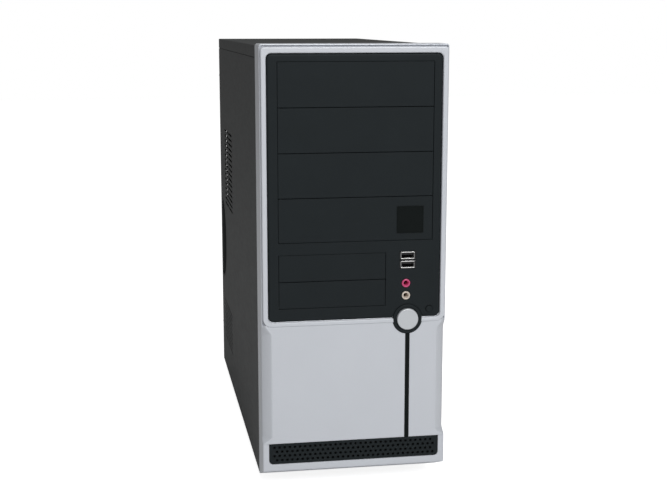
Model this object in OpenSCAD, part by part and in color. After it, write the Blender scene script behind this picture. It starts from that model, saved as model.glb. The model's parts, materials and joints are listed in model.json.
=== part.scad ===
// Mid tower desktop computer: steel chassis, plastic front, board, power supply, disk and fans.
// Millimetres. +Z up, the front faces -Y, +X is to the right of a person facing the front.
// The origin is on the floor under the middle of the bounding box.

/* [Case] */
// Width across the two side panels
case_w = 180; // [178:1:184]
// Height of the steel top above the floor
case_h = 431.5; // [430:0.5:434]
// Depth from the front plane to the rear panel's outer face
case_d = 470; // [465:1:490]
// Height of the feet, which is also the level of the base pan
foot_h = 10; // [8:1:12]
// Thickness of the sheet steel
sheet = 1; // [0.8:0.1:1]
// Depth of the folded edge of the top, down each side
top_flange_h = 11.5; // [10:0.5:14]

/* [Front] */
// Depth of the plastic front, from its front plane to the steel
bezel_d = 35; // [33:1:36]
// Wall of the plastic front
bezel_wall = 2.5; // [2:0.5:3]
// Height of the plastic front's lip over the steel top
bezel_over = 1.5; // [1:0.5:2]
// Height of the front's lower edge at the front plane
bezel_lip_z = 23; // [21:1:24]
// Half width of the dark fascia
fascia_half_w = 83.6; // [82:0.2:84]
// Lower edge of the dark fascia
fascia_z0 = 171.4; // [170:0.2:172]
// Upper edge of the dark fascia
fascia_z1 = 424.5; // [424:0.5:425]
// Thickness of the fascia
fascia_t = 3; // [2:0.5:3]
// Middle of the large drive bays across the width
bay_x = 1; // [0:0.5:1]
// Width of a large drive bay opening
bay_w = 149; // [148:0.5:150]
// Height of a large drive bay
bay_pitch = 42.4; // [42:0.1:42.5]
// Upper edge of the top drive bay
bay_top_z = 417; // [416:0.5:418]
// Middle of the small drive bays across the width
small_bay_x = -21.7; // [-22:0.1:-21]
// Width of a small drive bay opening
small_bay_w = 103.4; // [102:0.2:104]
// Height of a small drive bay
small_bay_pitch = 26; // [25.4:0.1:26]
// Upper edge of the upper small drive bay
small_bay_top_z = 236; // [235:0.5:236]
// Gap round a drive bay cover
cover_gap = 0.3; // [0.2:0.1:0.5]

/* [Controls] */
// Power button, across the width
button_x = 51.6; // [51:0.1:52]
// Power button, above the floor
button_z = 170.3; // [170:0.1:171]
// Radius of the power button's face
button_r = 10.4; // [10:0.1:10.5]
// Radius of the dark ring round the power button
ring_r = 14.6; // [14:0.1:15]
// How far the power button stands out of the front plane
button_proud = 3; // [2:0.5:4]
// Travel of the power button
button_travel = 3; // [2:0.5:3]
// Reset button, across the width
reset_x = 73.1; // [72:0.1:74]
// Reset button, above the floor
reset_z = 179.4; // [179:0.1:180]
// Travel of the reset button
reset_travel = 1.5; // [1:0.5:1.5]
// Bore of the audio sockets, for a 3.5 mm plug
jack_bore_r = 1.8; // [1.8:0.05:1.9]

/* [Rear] */
// Size of the rear case fan
rear_fan = 92; // [80,92]
// Size of the power supply's fan
psu_fan = 80; // [80]
// Size of the processor fan
cpu_fan = 70; // [60,70]
// Length of the power supply
psu_d = 140; // [140:5:160]
// How far the thumbscrews stand out behind the rear panel
rear_proud = 6; // [6:1:8]

/* [Hidden] */

$fn = 48;
eps = 0.01;
front_y = button_proud - (case_d + button_proud + rear_proud) / 2;
half_w = case_w / 2;
bezel_top_z = case_h + bezel_over;
chassis_d = bezel_d + 1;
rear_in = case_d - sheet;
seam_z = case_h - top_flange_h;
// Edge of the rear panel, inside the side panels' rear flanges
rear_half_w = half_w - 8;
flange_gap = 0.3;
// Plastic front: rounding of the lower panel's sides, and the heights between which it runs
pillow_r = 10;
pillow_z = [52, 166];
// Lower grille: outline and staggered rows of holes
grille_half_w = 84;
grille_z = [30, 50.5];
grille_hole_r = 1.3;
grille_pitch = [5, 4.3];
grille_rows = 4;
strip_x = [49.8, 54.1];
// Air intake of the chassis front
intake_x = [-75, 34];
intake_z = [34, 96];
// Front sockets
usb_x = 51.4;
usb_z = [232.7, 223.8];
usb_mouth = [12.5, 5.1];
jack_x = 50;
jack_z = [205.5, 193.4];
jack_r = 4.2;
io_board_d = 20;
led_z = [124.5, 82];
badge_mid = [53.4, 267.5];
badge_w = 26;
// Side panel thumbscrews
panel_screw_z = [60, 385];
panel_screw_x = half_w - 5;
screw_r = 1.7;
// Board: the tray and the board stand upright inside the right side panel
tray_x = 77;
board_x = 69.9;
board_t = 1.6;
board_d = [222, 466];
board_z = [30, 335];
standoff_d = [229, 330, 440];
standoff_z = [40, 190, 327];
cpu_mid = [352, 265];
cpu_base_x = 62;
fin_h = 34;
fan_t = 15;
// Rear openings
slot_pitch = 20.32;
slot_count = 7;
slot_top_z = 160;
slot_x = [-33, 70];
shield_x = [28, 72.4];
shield_z = [173, 331.8];
rear_fan_mid = [-30, 275];
rear_fan_t = 25;
// Power supply: case, inlet and rocker
psu_half_w = 75;
psu_z = [341, 427];
psu_front_d = rear_in - psu_d;
psu_fan_mid = [-22, 384];
psu_fan_t = 25;
inlet_mid = [44, 366];
rocker_mid = [44, 404];
rocker_tilt = 10;
pivot_d = 468;
// Disk, in the small drive cage
disk_d = [45, 191];
disk_z = [140, 166];

// Depth behind the front plane as a Y coordinate
function fy(d) = front_y + d;

// A block between two corners; y is given as depth behind the front plane
module span(x, d, z) {
    translate([x[0], fy(d[0]), z[0]])
        cube([x[1] - x[0], d[1] - d[0], z[1] - z[0]]);
}

// A flat drawing in X and Z, given its thickness between two depths
module upright(d) {
    translate([0, fy(d[1]), 0])
        rotate([90, 0, 0])
            linear_extrude(d[1] - d[0])
                children();
}

// A rectangle between two corners in the flat drawing
module rect(x, z) {
    translate([x[0], z[0]])
        square([x[1] - x[0], z[1] - z[0]]);
}

// A rectangle with round corners
module round_rect(x, z, r) {
    rect([x[0] + r, x[1] - r], z);
    rect(x, [z[0] + r, z[1] - r]);
    for (px = [x[0] + r, x[1] - r], pz = [z[0] + r, z[1] - r])
        translate([px, pz])
            circle(r);
}

// A round bar along Y between two depths
module bar_y(x, z, r, d) {
    translate([x, fy(d[0]), z])
        rotate([-90, 0, 0])
            cylinder(r = r, h = d[1] - d[0]);
}

// A tapered round bar along Y
module cone_y(x, z, r, d) {
    translate([x, fy(d[0]), z])
        rotate([-90, 0, 0])
            cylinder(r1 = r[0], r2 = r[1], h = d[1] - d[0]);
}

// A round bar along X
module bar_x(d, z, r, x) {
    translate([x[0], fy(d), z])
        rotate([0, 90, 0])
            cylinder(r = r, h = x[1] - x[0]);
}

// ---- Chassis ----

module base_pan() {
    lip_z = foot_h + 14;
    color("dimgray") {
        difference() {
            span([-half_w + 1.3, half_w - 1.3], [chassis_d, rear_in - 0.3], [foot_h, foot_h + sheet]);
            for (px = [-60, 60], d = [90, 420])
                translate([px, fy(d), foot_h - 1])
                    cylinder(r = 2.1, h = sheet + 2);
        }
        for (s = [-1, 1])
            translate([s * (half_w - 1.8), 0, 0])
                span([-sheet / 2, sheet / 2], [chassis_d, rear_in - 0.3], [foot_h, lip_z]);
    }
}

module rear_drawing() {
    difference() {
        rect([-rear_half_w, rear_half_w], [foot_h, case_h - sheet]);
        psu_window();
        translate(rear_fan_mid)
            fan_holes(rear_fan, 2.3);
        rect(shield_x, shield_z);
        for (i = [0 : slot_count - 1])
            rect(slot_x, [slot_top_z - i * slot_pitch - 6.5, slot_top_z - i * slot_pitch + 6.5]);
        for (i = [0 : 3], j = [0 : 15])
            translate([-74 + i * 9 + (j % 2) * 4.5, 38 + j * 7.8])
                circle(r = 3.1, $fn = 6);
    }
}

module psu_window() {
    difference() {
        rect([-psu_half_w + 3, psu_half_w - 3], [psu_z[0] + 3, psu_z[1] - 3]);
        for (x = [-psu_half_w, psu_half_w - 13], z = [psu_z[0], psu_z[1] - 13])
            rect([x, x + 13], [z, z + 13]);
    }
    for (p = psu_screws())
        translate(p)
            circle(2.2);
}

function psu_screws() = [for (x = [-69, 69], z = [psu_z[0] + 7, psu_z[1] - 7]) [x, z]];

// Round opening and four corner holes of a square fan
module fan_holes(size, hole_r) {
    circle(size / 2 - 3, $fn = 96);
    for (p = fan_corners(size))
        translate(p)
            circle(hole_r);
}

// Standard hole spacing of 60, 70, 80 and 92 mm fans
function fan_spacing(size) = size == 92 ? 82.5 : size == 80 ? 71.5 : size == 70 ? 60 : 50;
function fan_corners(size) = [for (a = [-1, 1], b = [-1, 1]) [a, b] * fan_spacing(size) / 2];

module rear_panel() {
    ledge_x = slot_x[0] - 6;
    slots_z0 = slot_top_z - (slot_count - 1) * slot_pitch;
    color("dimgray") {
        upright([rear_in, case_d])
            rear_drawing();
        span([ledge_x, ledge_x + sheet], [rear_in - 14, rear_in - 1.3], [slots_z0 - 10, slot_top_z + 12]);
        for (z = [[slots_z0 - 10, slots_z0 - 9.2], [slot_top_z + 9.2, slot_top_z + 12]])
            span([ledge_x, ledge_x + sheet], [rear_in - 14, rear_in + eps], z);
        for (s = [-1, 1], z = panel_screw_z)
            screw_ear(s, z);
    }
}

// Lug behind a side panel's rear flange, which takes its thumbscrew
module screw_ear(s, z) {
    out = half_w - 1.6;
    ear = [min(s * out, s * (rear_half_w - 4)), max(s * out, s * (rear_half_w - 4))];
    root = [min(s * (rear_half_w - 1), s * (rear_half_w - 4)),
        max(s * (rear_half_w - 1), s * (rear_half_w - 4))];
    difference() {
        span(ear, [rear_in - 1.5, rear_in - flange_gap], [z - 8, z + 8]);
        bar_y(s * panel_screw_x, z, screw_r + 0.1, [rear_in - 3, rear_in]);
    }
    span(root, [rear_in - flange_gap - eps, rear_in + eps], [z - 8, z + 8]);
}

// Frame of the chassis front, with a punched screen welded behind its air intake
module front_plate() {
    back = chassis_d + sheet;
    color("dimgray") {
        upright([chassis_d, back])
            difference() {
                rect([-half_w + 2.5, half_w - 2.5], [foot_h + sheet, case_h - sheet]);
                rect([bay_x - 73.5, bay_x + 73.5], [bay_top_z - 4 * bay_pitch + 1, bay_top_z - 1]);
                rect([small_bay_x - 50.8, small_bay_x + 50.8],
                    [small_bay_top_z - 2 * small_bay_pitch, small_bay_top_z - 1]);
                rect([38, 84], [155, 242]);
                rect(intake_x, intake_z);
            }
        upright([back + 0.1, back + 0.1 + sheet])
            difference() {
                rect([intake_x[0] - 4, intake_x[1] + 4], [intake_z[0] - 3, intake_z[1] + 3]);
                for (i = [0 : 11], j = [0 : 6])
                    translate([intake_x[0] + 5 + i * 9, intake_z[0] + 4 + j * 9])
                        circle(3);
            }
    }
}

module motherboard_tray() {
    color("silver") {
        difference() {
            span([tray_x, tray_x + sheet], [205, rear_in - 0.2], [foot_h + sheet, 338]);
            for (d = standoff_d, z = standoff_z)
                bar_x(d, z, 1.6, [tray_x - 1, tray_x + 2]);
            span([tray_x - 1, tray_x + 2], [208, 216], [120, 200]);
        }
        span([tray_x, half_w - 6], [204, 205 + eps], [foot_h + sheet, 338]);
    }
}

module top_cover() {
    color("black") {
        span([-half_w, half_w], [chassis_d, case_d], [case_h - sheet, case_h]);
        for (s = [-1, 1]) {
            translate([s * (half_w - sheet / 2), 0, 0])
                span([-sheet / 2, sheet / 2], [chassis_d, case_d], [seam_z, case_h - eps]);
            translate([s * (half_w - 1.2 - sheet / 2), 0, 0])
                span([-0.4, 0.4], [chassis_d, rear_in - 3], [seam_z - 12, seam_z + 1]);
            translate([s * (half_w - 1.2), 0, 0])
                span([-0.7, 0.7], [chassis_d, rear_in - 3], [seam_z, seam_z + 1]);
        }
    }
}

// ---- Side panels ----

// Outline of the pressed grip: straight at the rear, bowed at the front
grip_mid_d = 440;
grip_z = [129, 228];
grip_depth = 6;
grip_bow_r = 52.5;

module grip_drawing(shrink) {
    mid_z = (grip_z[0] + grip_z[1]) / 2;
    half = (grip_z[1] - grip_z[0]) / 2 - shrink;
    bow = 40 - shrink;
    intersection() {
        rect([grip_mid_d - bow - 5, grip_mid_d + 12 - shrink], [mid_z - half, mid_z + half]);
        translate([grip_mid_d + grip_bow_r - bow, mid_z])
            circle(grip_bow_r, $fn = 96);
    }
}

// Sheet of a left side panel, drawn in depth and height
module panel_drawing(vents) {
    difference() {
        rect([chassis_d, case_d - sheet], [foot_h, seam_z - 0.3]);
        grip_drawing(0);
        if (vents) {
            for (i = [0 : 15], c = [0, 1])
                translate([303 + c * 51, 231 + i * 6])
                    slot_hole(46, 2.6);
            for (i = [0 : 14], j = [0 : 8])
                translate([330 + i * 7 + (j % 2) * 3.5, 53 + j * 5.8])
                    circle(r = 2.3, $fn = 6);
        }
    }
}

module slot_hole(length, width) {
    translate([0, -width / 2])
        square([length, width]);
}

// A left side panel; mirrored for the right
module side_panel(vents) {
    grip_in = -half_w + grip_depth;
    // Outer sheet
    flat_panel(-half_w, sheet)
        panel_drawing(vents);
    // Floor and wall of the pressed grip
    flat_panel(grip_in - sheet / 2, sheet)
        grip_drawing(0);
    flat_panel(-half_w + eps, grip_depth)
        difference() {
            grip_drawing(0);
            grip_drawing(sheet);
        }
    // Rear flange with its screw holes
    difference() {
        span([-half_w, -rear_half_w - flange_gap], [rear_in - eps, case_d],
            [foot_h + 1.5, seam_z - 1]);
        for (z = panel_screw_z)
            bar_y(-panel_screw_x, z, screw_r + 0.2, [rear_in - 1, case_d + 1]);
    }
    // Runners that ride on the base pan's lip and under the top's lip
    for (z = [foot_h + 14.4, seam_z - 14])
        span([-half_w + eps, -half_w + 5], [chassis_d + 2, rear_in - 12], [z, z + sheet]);
}

// Extrude a drawing in depth and height across the width, from x inwards
module flat_panel(x, t) {
    translate([x, front_y, 0])
        rotate([90, 0, 90])
            linear_extrude(t)
                children();
}

module left_side_panel() {
    color("black")
        side_panel(true);
}

module right_side_panel() {
    color("black")
        mirror([1, 0, 0])
            side_panel(false);
}

module thumbscrews(s) {
    for (z = panel_screw_z)
        difference() {
            union() {
                bar_y(s * panel_screw_x, z, screw_r, [rear_in - 9, case_d + 0.5]);
                bar_y(s * panel_screw_x, z, 4.6, [case_d, case_d + rear_proud]);
                for (a = [0 : 30 : 330])
                    translate([s * panel_screw_x + 4.3 * cos(a), 0, z + 4.3 * sin(a)])
                        bar_y(0, 0, 0.7, [case_d + 1, case_d + rear_proud - 0.6]);
            }
            span([s * panel_screw_x - 6, s * panel_screw_x + 6],
                [case_d + rear_proud - 1.5, case_d + rear_proud + 1], [z - 0.6, z + 0.6]);
        }
}

module left_panel_screws() {
    color("silver")
        thumbscrews(-1);
}

module right_panel_screws() {
    color("silver")
        thumbscrews(1);
}

// ---- Drive cages ----

module cage_plate(x, d, z, rows, pitch) {
    difference() {
        span([x, x + sheet], d, z);
        for (i = [0 : rows - 1], c = [0.2, 0.65])
            span([x - 1, x + sheet + 1], [d[0] + c * (d[1] - d[0]), d[0] + c * (d[1] - d[0]) + 24],
                [z[1] - 16 - i * pitch, z[1] - 12 - i * pitch]);
    }
}

module optical_cage() {
    z = [bay_top_z - 4 * bay_pitch - 1, bay_top_z + 2];
    color("silver")
        for (x = [bay_x - 73.5 - sheet, bay_x + 73.5])
            cage_plate(x, [chassis_d + sheet, 205], z, 4, bay_pitch);
}

module drive_cage() {
    color("silver")
        for (s = [-1, 1]) {
            x = small_bay_x + s * (50.8 + sheet / 2 + 0.2) - sheet / 2;
            cage_plate(x, [chassis_d + sheet, 195], [100, small_bay_top_z + 2], 4, small_bay_pitch);
        }
}

module hard_drive() {
    x = [small_bay_x - 50.8, small_bay_x + 50.8];
    mid = [small_bay_x, (disk_d[0] + disk_d[1]) / 2];
    color("silver") {
        difference() {
            span(x, disk_d, [disk_z[0] + 2, disk_z[1] - 3]);
            span([x[0] + 12, x[1] - 12], [disk_d[1] - 4, disk_d[1] + 1], [disk_z[0] + 4, disk_z[0] + 12]);
        }
        translate([mid[0], fy(mid[1]), disk_z[1] - 3 - eps])
            linear_extrude(3)
                round_rect([-47, 47], [-69, 69], 8);
        translate([mid[0], fy(mid[1] - 18), disk_z[1] - 1])
            cylinder(r = 9, h = 1.4);
        span([x[0] + 4, x[1] - 4], [disk_d[0] + 6, disk_d[1] - 8], [disk_z[0] + 0.5, disk_z[0] + 2 + eps]);
        span([x[0] + 20, x[0] + 60], [disk_d[1] - 5, disk_d[1]], [disk_z[0] + 6, disk_z[0] + 10]);
    }
}

// ---- Plastic front ----

// Side view of the front: undercut at the bottom so that fingers can pull it off
module bezel_side_view(wall) {
    polygon([[wall, bezel_lip_z + wall], [wall, bezel_top_z - wall],
        [bezel_d + (wall > 0 ? 1 : 0), bezel_top_z - wall],
        [bezel_d + (wall > 0 ? 1 : 0), foot_h + wall], [bezel_d - 3, foot_h + wall]]);
}

module bezel_block(wall) {
    translate([-half_w + wall, front_y, 0])
        rotate([90, 0, 90])
            linear_extrude(case_w - 2 * wall)
                bezel_side_view(wall);
}

// Inner space with rounded front corners, so that the wall keeps its thickness at the pillow
module bezel_inside() {
    r = pillow_r - bezel_wall;
    intersection() {
        bezel_block(bezel_wall);
        translate([0, fy(bezel_wall), 0])
            linear_extrude(bezel_top_z)
                union() {
                    rect([-half_w + bezel_wall, half_w - bezel_wall], [r, bezel_d]);
                    rect([-half_w + bezel_wall + r, half_w - bezel_wall - r], [0, bezel_d]);
                    for (s = [-1, 1])
                        translate([s * (half_w - pillow_r), r])
                            circle(r);
                }
    }
}

module front_bezel() {
    color("lightsteelblue")
        difference() {
            bezel_block(0);
            bezel_inside();
            // Rounded sides of the lower panel
            for (s = [-1, 1])
                difference() {
                    translate([s * half_w, 0, 0])
                        span([-pillow_r, pillow_r], [-1, pillow_r], pillow_z);
                    translate([s * (half_w - pillow_r), fy(pillow_r), pillow_z[0] - 1])
                        cylinder(r = pillow_r, h = pillow_z[1] - pillow_z[0] + 2);
                }
            upright([-1, bezel_wall + 1])
                union() {
                    round_rect([-fascia_half_w, fascia_half_w], [fascia_z0, fascia_z1], 5);
                    translate([button_x, button_z])
                        circle(ring_r);
                    rect([strip_x[0], strip_x[1]], [grille_z[1] - 1, button_z]);
                    rect([-grille_half_w, grille_half_w], grille_z);
                }
        }
}

module fascia() {
    inner = 0.2;
    color([0.16, 0.18, 0.18]) {
        upright([0, fascia_t])
            difference() {
                round_rect([-fascia_half_w + inner, fascia_half_w - inner],
                    [fascia_z0 + inner, fascia_z1 - inner], 5);
                fascia_openings();
            }
        // Skirt behind the face
        upright([fascia_t - eps, 12])
            difference() {
                rect([-fascia_half_w + 2, fascia_half_w - 2], [fascia_z0 + 2, fascia_z1 - 2]);
                rect([-fascia_half_w + 3.5, fascia_half_w - 3.5], [fascia_z0 + 3.5, fascia_z1 - 3.5]);
                translate([button_x, button_z])
                    circle(ring_r + 0.2);
            }
        // Posts for the socket board
        for (p = io_posts())
            bar_y(p[0], p[1], 2.6, [fascia_t - eps, io_board_d]);
    }
}

function io_posts() = [[78.5, 236], [64, 210], [78.5, 196]];

module fascia_openings() {
    rect([bay_x - bay_w / 2, bay_x + bay_w / 2], [bay_top_z - 4 * bay_pitch, bay_top_z]);
    rect([small_bay_x - small_bay_w / 2, small_bay_x + small_bay_w / 2],
        [small_bay_top_z - 2 * small_bay_pitch, small_bay_top_z]);
    translate([button_x, button_z])
        circle(ring_r + 0.1);
    translate([reset_x, reset_z])
        circle(3.45);
    for (z = usb_z)
        rect([usb_x - 7.9, usb_x + 7.9], [z - 4.1, z + 4.1]);
    for (z = jack_z)
        translate([jack_x, z])
            circle(jack_r + 0.1);
}

// A blanking cover: face plate with two clip legs
module bay_cover(mid_x, w, z, leg) {
    color([0.17, 0.19, 0.19]) {
        span([mid_x - w / 2 + cover_gap, mid_x + w / 2 - cover_gap], [0.4, 2.9],
            [z[0] + cover_gap, z[1] - cover_gap]);
        for (s = [-1, 1])
            translate([mid_x + s * (w / 2 - 2.4), 0, 0]) {
                span([-0.8, 0.8], [2.9 - eps, leg], [z[0] + 6, z[1] - 6]);
                translate([s * 0.8, 0, 0])
                    span([-0.6, 0.6], [leg - 5, leg - 3], [z[0] + 8, z[1] - 8]);
            }
    }
}

module large_cover(i) {
    z1 = bay_top_z - (i - 1) * bay_pitch;
    bay_cover(bay_x, bay_w, [z1 - bay_pitch, z1], 22);
}

module small_cover(i) {
    z1 = small_bay_top_z - (i - 1) * small_bay_pitch;
    bay_cover(small_bay_x, small_bay_w, [z1 - small_bay_pitch, z1], 22);
}

module bay_cover_1() { large_cover(1); }
module bay_cover_2() { large_cover(2); }
module bay_cover_3() { large_cover(3); }
module bay_cover_4() { large_cover(4); }
module small_bay_cover_1() { small_cover(1); }
module small_bay_cover_2() { small_cover(2); }

module badge() {
    half = badge_w / 2;
    color("black")
        span([badge_mid[0] - half, badge_mid[0] + half], [-0.2, 0.4],
            [badge_mid[1] - half, badge_mid[1] + half]);
}

module lower_grille() {
    count = floor((2 * grille_half_w - 6) / grille_pitch[0]);
    first_z = (grille_z[0] + grille_z[1]) / 2 - 1.5 * grille_pitch[1];
    color([0.16, 0.18, 0.18])
        upright([0.6, 3.2])
            difference() {
                union() {
                    round_rect([-grille_half_w + 0.2, grille_half_w - 0.2],
                        [grille_z[0] + 0.2, grille_z[1] - 0.2], 4);
                    rect([-grille_half_w + 0.2, grille_half_w - 0.2], [40, grille_z[1] - 0.2]);
                }
                for (j = [0 : grille_rows - 1], i = [0 : count - 1])
                    translate([(i - (count - 1) / 2 - 0.25 + (j % 2) * 0.5) * grille_pitch[0],
                            first_z + j * grille_pitch[1]])
                        circle(r = grille_hole_r, $fn = 16);
            }
}

module light_strip() {
    color([0.1, 0.11, 0.11])
        span([strip_x[0] + 0.1, strip_x[1] - 0.1], [0.3, 4], [grille_z[1], button_z - ring_r + 0.6]);
}

// ---- Front controls ----

module button_ring() {
    color([0.16, 0.18, 0.18])
        difference() {
            bar_y(button_x, button_z, ring_r - 0.05, [-0.6, 9]);
            bar_y(button_x, button_z, button_r + 0.3, [-1, 4]);
            bar_y(button_x, button_z, 12.6, [3, 10]);
            span([strip_x[0], strip_x[1]], [0, 4.2], [button_z - ring_r - 1, button_z - ring_r + 1]);
        }
}

module power_button() {
    stem_end = io_board_d - 4 - button_travel - 0.3;
    color("lightgray") {
        cone_y(button_x, button_z, [button_r - 1.2, button_r], [-button_proud, -button_proud + 1]);
        bar_y(button_x, button_z, button_r, [-button_proud + 1 - eps, 4]);
        bar_y(button_x, button_z, 12.2, [3.3, 4.8]);
        bar_y(button_x, button_z, 3, [4, stem_end]);
    }
}

module reset_button() {
    stem_end = io_board_d - 4 - reset_travel - 0.3;
    color([0.12, 0.13, 0.13]) {
        bar_y(reset_x, reset_z, 3.2, [-0.8, 4]);
        bar_y(reset_x, reset_z, 4.3, [fascia_t + 0.2, fascia_t + 1.4]);
        bar_y(reset_x, reset_z, 1.6, [4, stem_end]);
    }
}

module front_switches() {
    color("black")
        for (c = [[button_x, button_z, 6], [reset_x, reset_z, 3]]) {
            span([c[0] - c[2], c[0] + c[2]], [io_board_d - 3.4, io_board_d],
                [c[1] - c[2], c[1] + c[2]]);
            bar_y(c[0], c[1], c[2] * 0.4, [io_board_d - 4, io_board_d - 3]);
        }
}

module usb_shells() {
    color("silver")
        for (z = usb_z)
            difference() {
                union() {
                    span([usb_x - 6.75, usb_x + 6.75], [0.2, io_board_d], [z - 3.05, z + 3.05]);
                    span([usb_x - 7.6, usb_x + 7.6], [-0.2, 0.5], [z - 3.8, z + 3.8]);
                }
                span([usb_x - usb_mouth[0] / 2, usb_x + usb_mouth[0] / 2], [-1, io_board_d - 0.6],
                    [z - usb_mouth[1] / 2, z + usb_mouth[1] / 2]);
            }
}

module usb_tongues() {
    color("black")
        for (z = usb_z) {
            span([usb_x - 5.5, usb_x + 5.5], [2.5, 15], [z + 0.2, z + 2]);
            span([usb_x - 6.1, usb_x + 6.1], [15 - eps, io_board_d - 0.8], [z - 2.4, z + 2.4]);
        }
}

module audio_jack(z) {
    difference() {
        union() {
            cone_y(jack_x, z, [jack_r - 0.5, jack_r], [-0.6, 0]);
            bar_y(jack_x, z, jack_r, [-eps, 5]);
            span([jack_x - 4.4, jack_x + 4.4], [5 - eps, io_board_d], [z - 4.4, z + 4.4]);
        }
        bar_y(jack_x, z, jack_bore_r, [-1, 17]);
    }
}

module mic_jack() {
    color("palevioletred")
        audio_jack(jack_z[0]);
}

module earphone_jack() {
    color("tan")
        audio_jack(jack_z[1]);
}

module front_io_board() {
    color("darkgreen")
        span([41, 82], [io_board_d, io_board_d + board_t], [158, 241]);
}

module indicator_leds() {
    color("palegreen")
        for (z = led_z) {
            bar_y(52, z, 1.5, [4.1, 9]);
            bar_y(52, z, 1.9, [8, 10]);
        }
}

// ---- Board ----

module motherboard() {
    color("darkgreen")
        difference() {
            span([board_x, board_x + board_t], board_d, board_z);
            for (d = standoff_d, z = standoff_z)
                bar_x(d, z, 1.9, [board_x - 1, board_x + board_t + 1]);
        }
}

module standoffs() {
    color("gold")
        for (d = standoff_d, z = standoff_z) {
            translate([board_x + board_t, fy(d), z])
                rotate([0, 90, 0])
                    cylinder(r = 3.1, h = tray_x - board_x - board_t, $fn = 6);
            bar_x(d, z, 1.5, [tray_x - eps, tray_x + 3]);
        }
}

// Fan parts stand on their mounting face at z = 0 and blow along z
module fan_frame(size, t) {
    bore = size / 2 - 2.4;
    hub = size * 0.2;
    difference() {
        linear_extrude(t)
            difference() {
                round_rect([-size / 2, size / 2], [-size / 2, size / 2], 4);
                circle(bore, $fn = 96);
                for (p = fan_corners(size))
                    translate(p)
                        circle(2.15);
            }
        for (a = [0 : 90 : 270])
            rotate(a)
                translate([size / 2 - 1, -size * 0.27, 4])
                    cube([3, size * 0.54, t - 8]);
    }
    difference() {
        union() {
            translate([0, 0, 0.4])
                cylinder(r = hub, h = 2);
            for (a = [45 : 90 : 315])
                rotate(a)
                    translate([hub - 1, -1.6, 0.6])
                        cube([bore - hub + 1.8, 3.2, 1.6]);
            translate([0, 0, 1])
                cylinder(r = 3.4, h = 5);
        }
        translate([0, 0, 1])
            cylinder(r = 1.56, h = 6);
    }
}

module fan_rotor(size, t, blades) {
    hub = size * 0.2;
    tip = size / 2 - 3.6;
    difference() {
        translate([0, 0, 3])
            cylinder(r = hub, h = t - 4);
        translate([0, 0, 2])
            cylinder(r = hub - 1.6, h = t - 5);
    }
    translate([0, 0, 1.5])
        cylinder(r = 1.5, h = t - 4);
    for (i = [0 : blades - 1])
        rotate(i * 360 / blades)
            intersection() {
                translate([hub - 0.8, 0, t / 2 + 0.5])
                    rotate([38, 0, 0])
                        translate([0, -size * 0.15, -0.6])
                            cube([tip - hub + 4, size * 0.3, 1.2]);
                translate([0, 0, 3.4])
                    cylinder(r = tip, h = t - 5);
            }
}

// Wire guard: rings and two crossed wires, standing off the fan's face
module fan_guard(size) {
    wire = 0.9;
    corner = fan_spacing(size) / 2;
    for (i = [1 : 4])
        translate([0, 0, 3])
            rotate_extrude($fn = 72)
                translate([i * size * 0.115 + 1, 0])
                    circle(wire, $fn = 16);
    for (a = [45, 135])
        rotate(a)
            translate([-corner * sqrt(2) + 3.2, 0, 1.8])
                rotate([0, 90, 0])
                    cylinder(r = wire, h = 2 * (corner * sqrt(2) - 3.2), $fn = 16);
    for (p = fan_corners(size))
        translate([p[0], p[1], 0.9])
            difference() {
                cylinder(r = 4, h = 1.8);
                translate([0, 0, -1])
                    cylinder(r = 2.2, h = 4);
            }
}

// Put a fan part on a rear face, its z pointing to the front
module at_rear(mid, d) {
    translate([mid[0], fy(d), mid[1]])
        rotate([90, 0, 0])
            children();
}

// Put a fan part on the processor heatsink, its z pointing to the left panel
module at_cpu() {
    translate([cpu_base_x - 6 - fin_h, fy(cpu_mid[0]), cpu_mid[1]])
        rotate([0, -90, 0])
            children();
}

module cpu_heatsink() {
    half = cpu_fan / 2;
    fins = 15;
    color("silver") {
        span([cpu_base_x - 6, cpu_base_x], [cpu_mid[0] - half, cpu_mid[0] + half],
            [cpu_mid[1] - half, cpu_mid[1] + half]);
        for (i = [0 : fins - 1])
            translate([0, 0, cpu_mid[1] - half + i * (cpu_fan - 1.2) / (fins - 1)])
                span([cpu_base_x - 6 - fin_h, cpu_base_x - 6 + eps],
                    [cpu_mid[0] - half, cpu_mid[0] + half], [0, 1.2]);
    }
}

module cpu_fan_frame() {
    color([0.1, 0.1, 0.1])
        at_cpu()
            translate([0, 0, fan_t])
                mirror([0, 0, 1])
                    fan_frame(cpu_fan, fan_t);
}

module cpu_fan_rotor() {
    color([0.2, 0.2, 0.2])
        at_cpu()
            translate([0, 0, fan_t])
                mirror([0, 0, 1])
                    fan_rotor(cpu_fan, fan_t, 7);
}

module chipset_heatsink() {
    mid = [300, 150];
    color("silver") {
        span([board_x - 7, board_x - 2.5], [mid[0] - 19, mid[0] + 19], [mid[1] - 19, mid[1] + 19]);
        for (i = [0 : 6])
            translate([0, 0, mid[1] - 19 + i * 6.1])
                span([board_x - 22, board_x - 7 + eps], [mid[0] - 19, mid[0] + 19], [0, 1.4]);
        span([board_x - 2.5 - eps, board_x], [mid[0] - 15, mid[0] + 15], [mid[1] - 15, mid[1] + 15]);
    }
}

memory_d = [272, 282];
memory_z = [175, 315];

module memory_modules() {
    color("green")
        for (d = memory_d) {
            span([board_x - 34, board_x - 3], [d - 0.6, d + 0.6], [memory_z[0] + 4, memory_z[1] - 4]);
            for (i = [0 : 7])
                span([board_x - 28, board_x - 14], [d - 1.7, d - 0.6 + eps],
                    [memory_z[0] + 9 + i * 15.6, memory_z[0] + 20 + i * 15.6]);
        }
}

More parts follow.
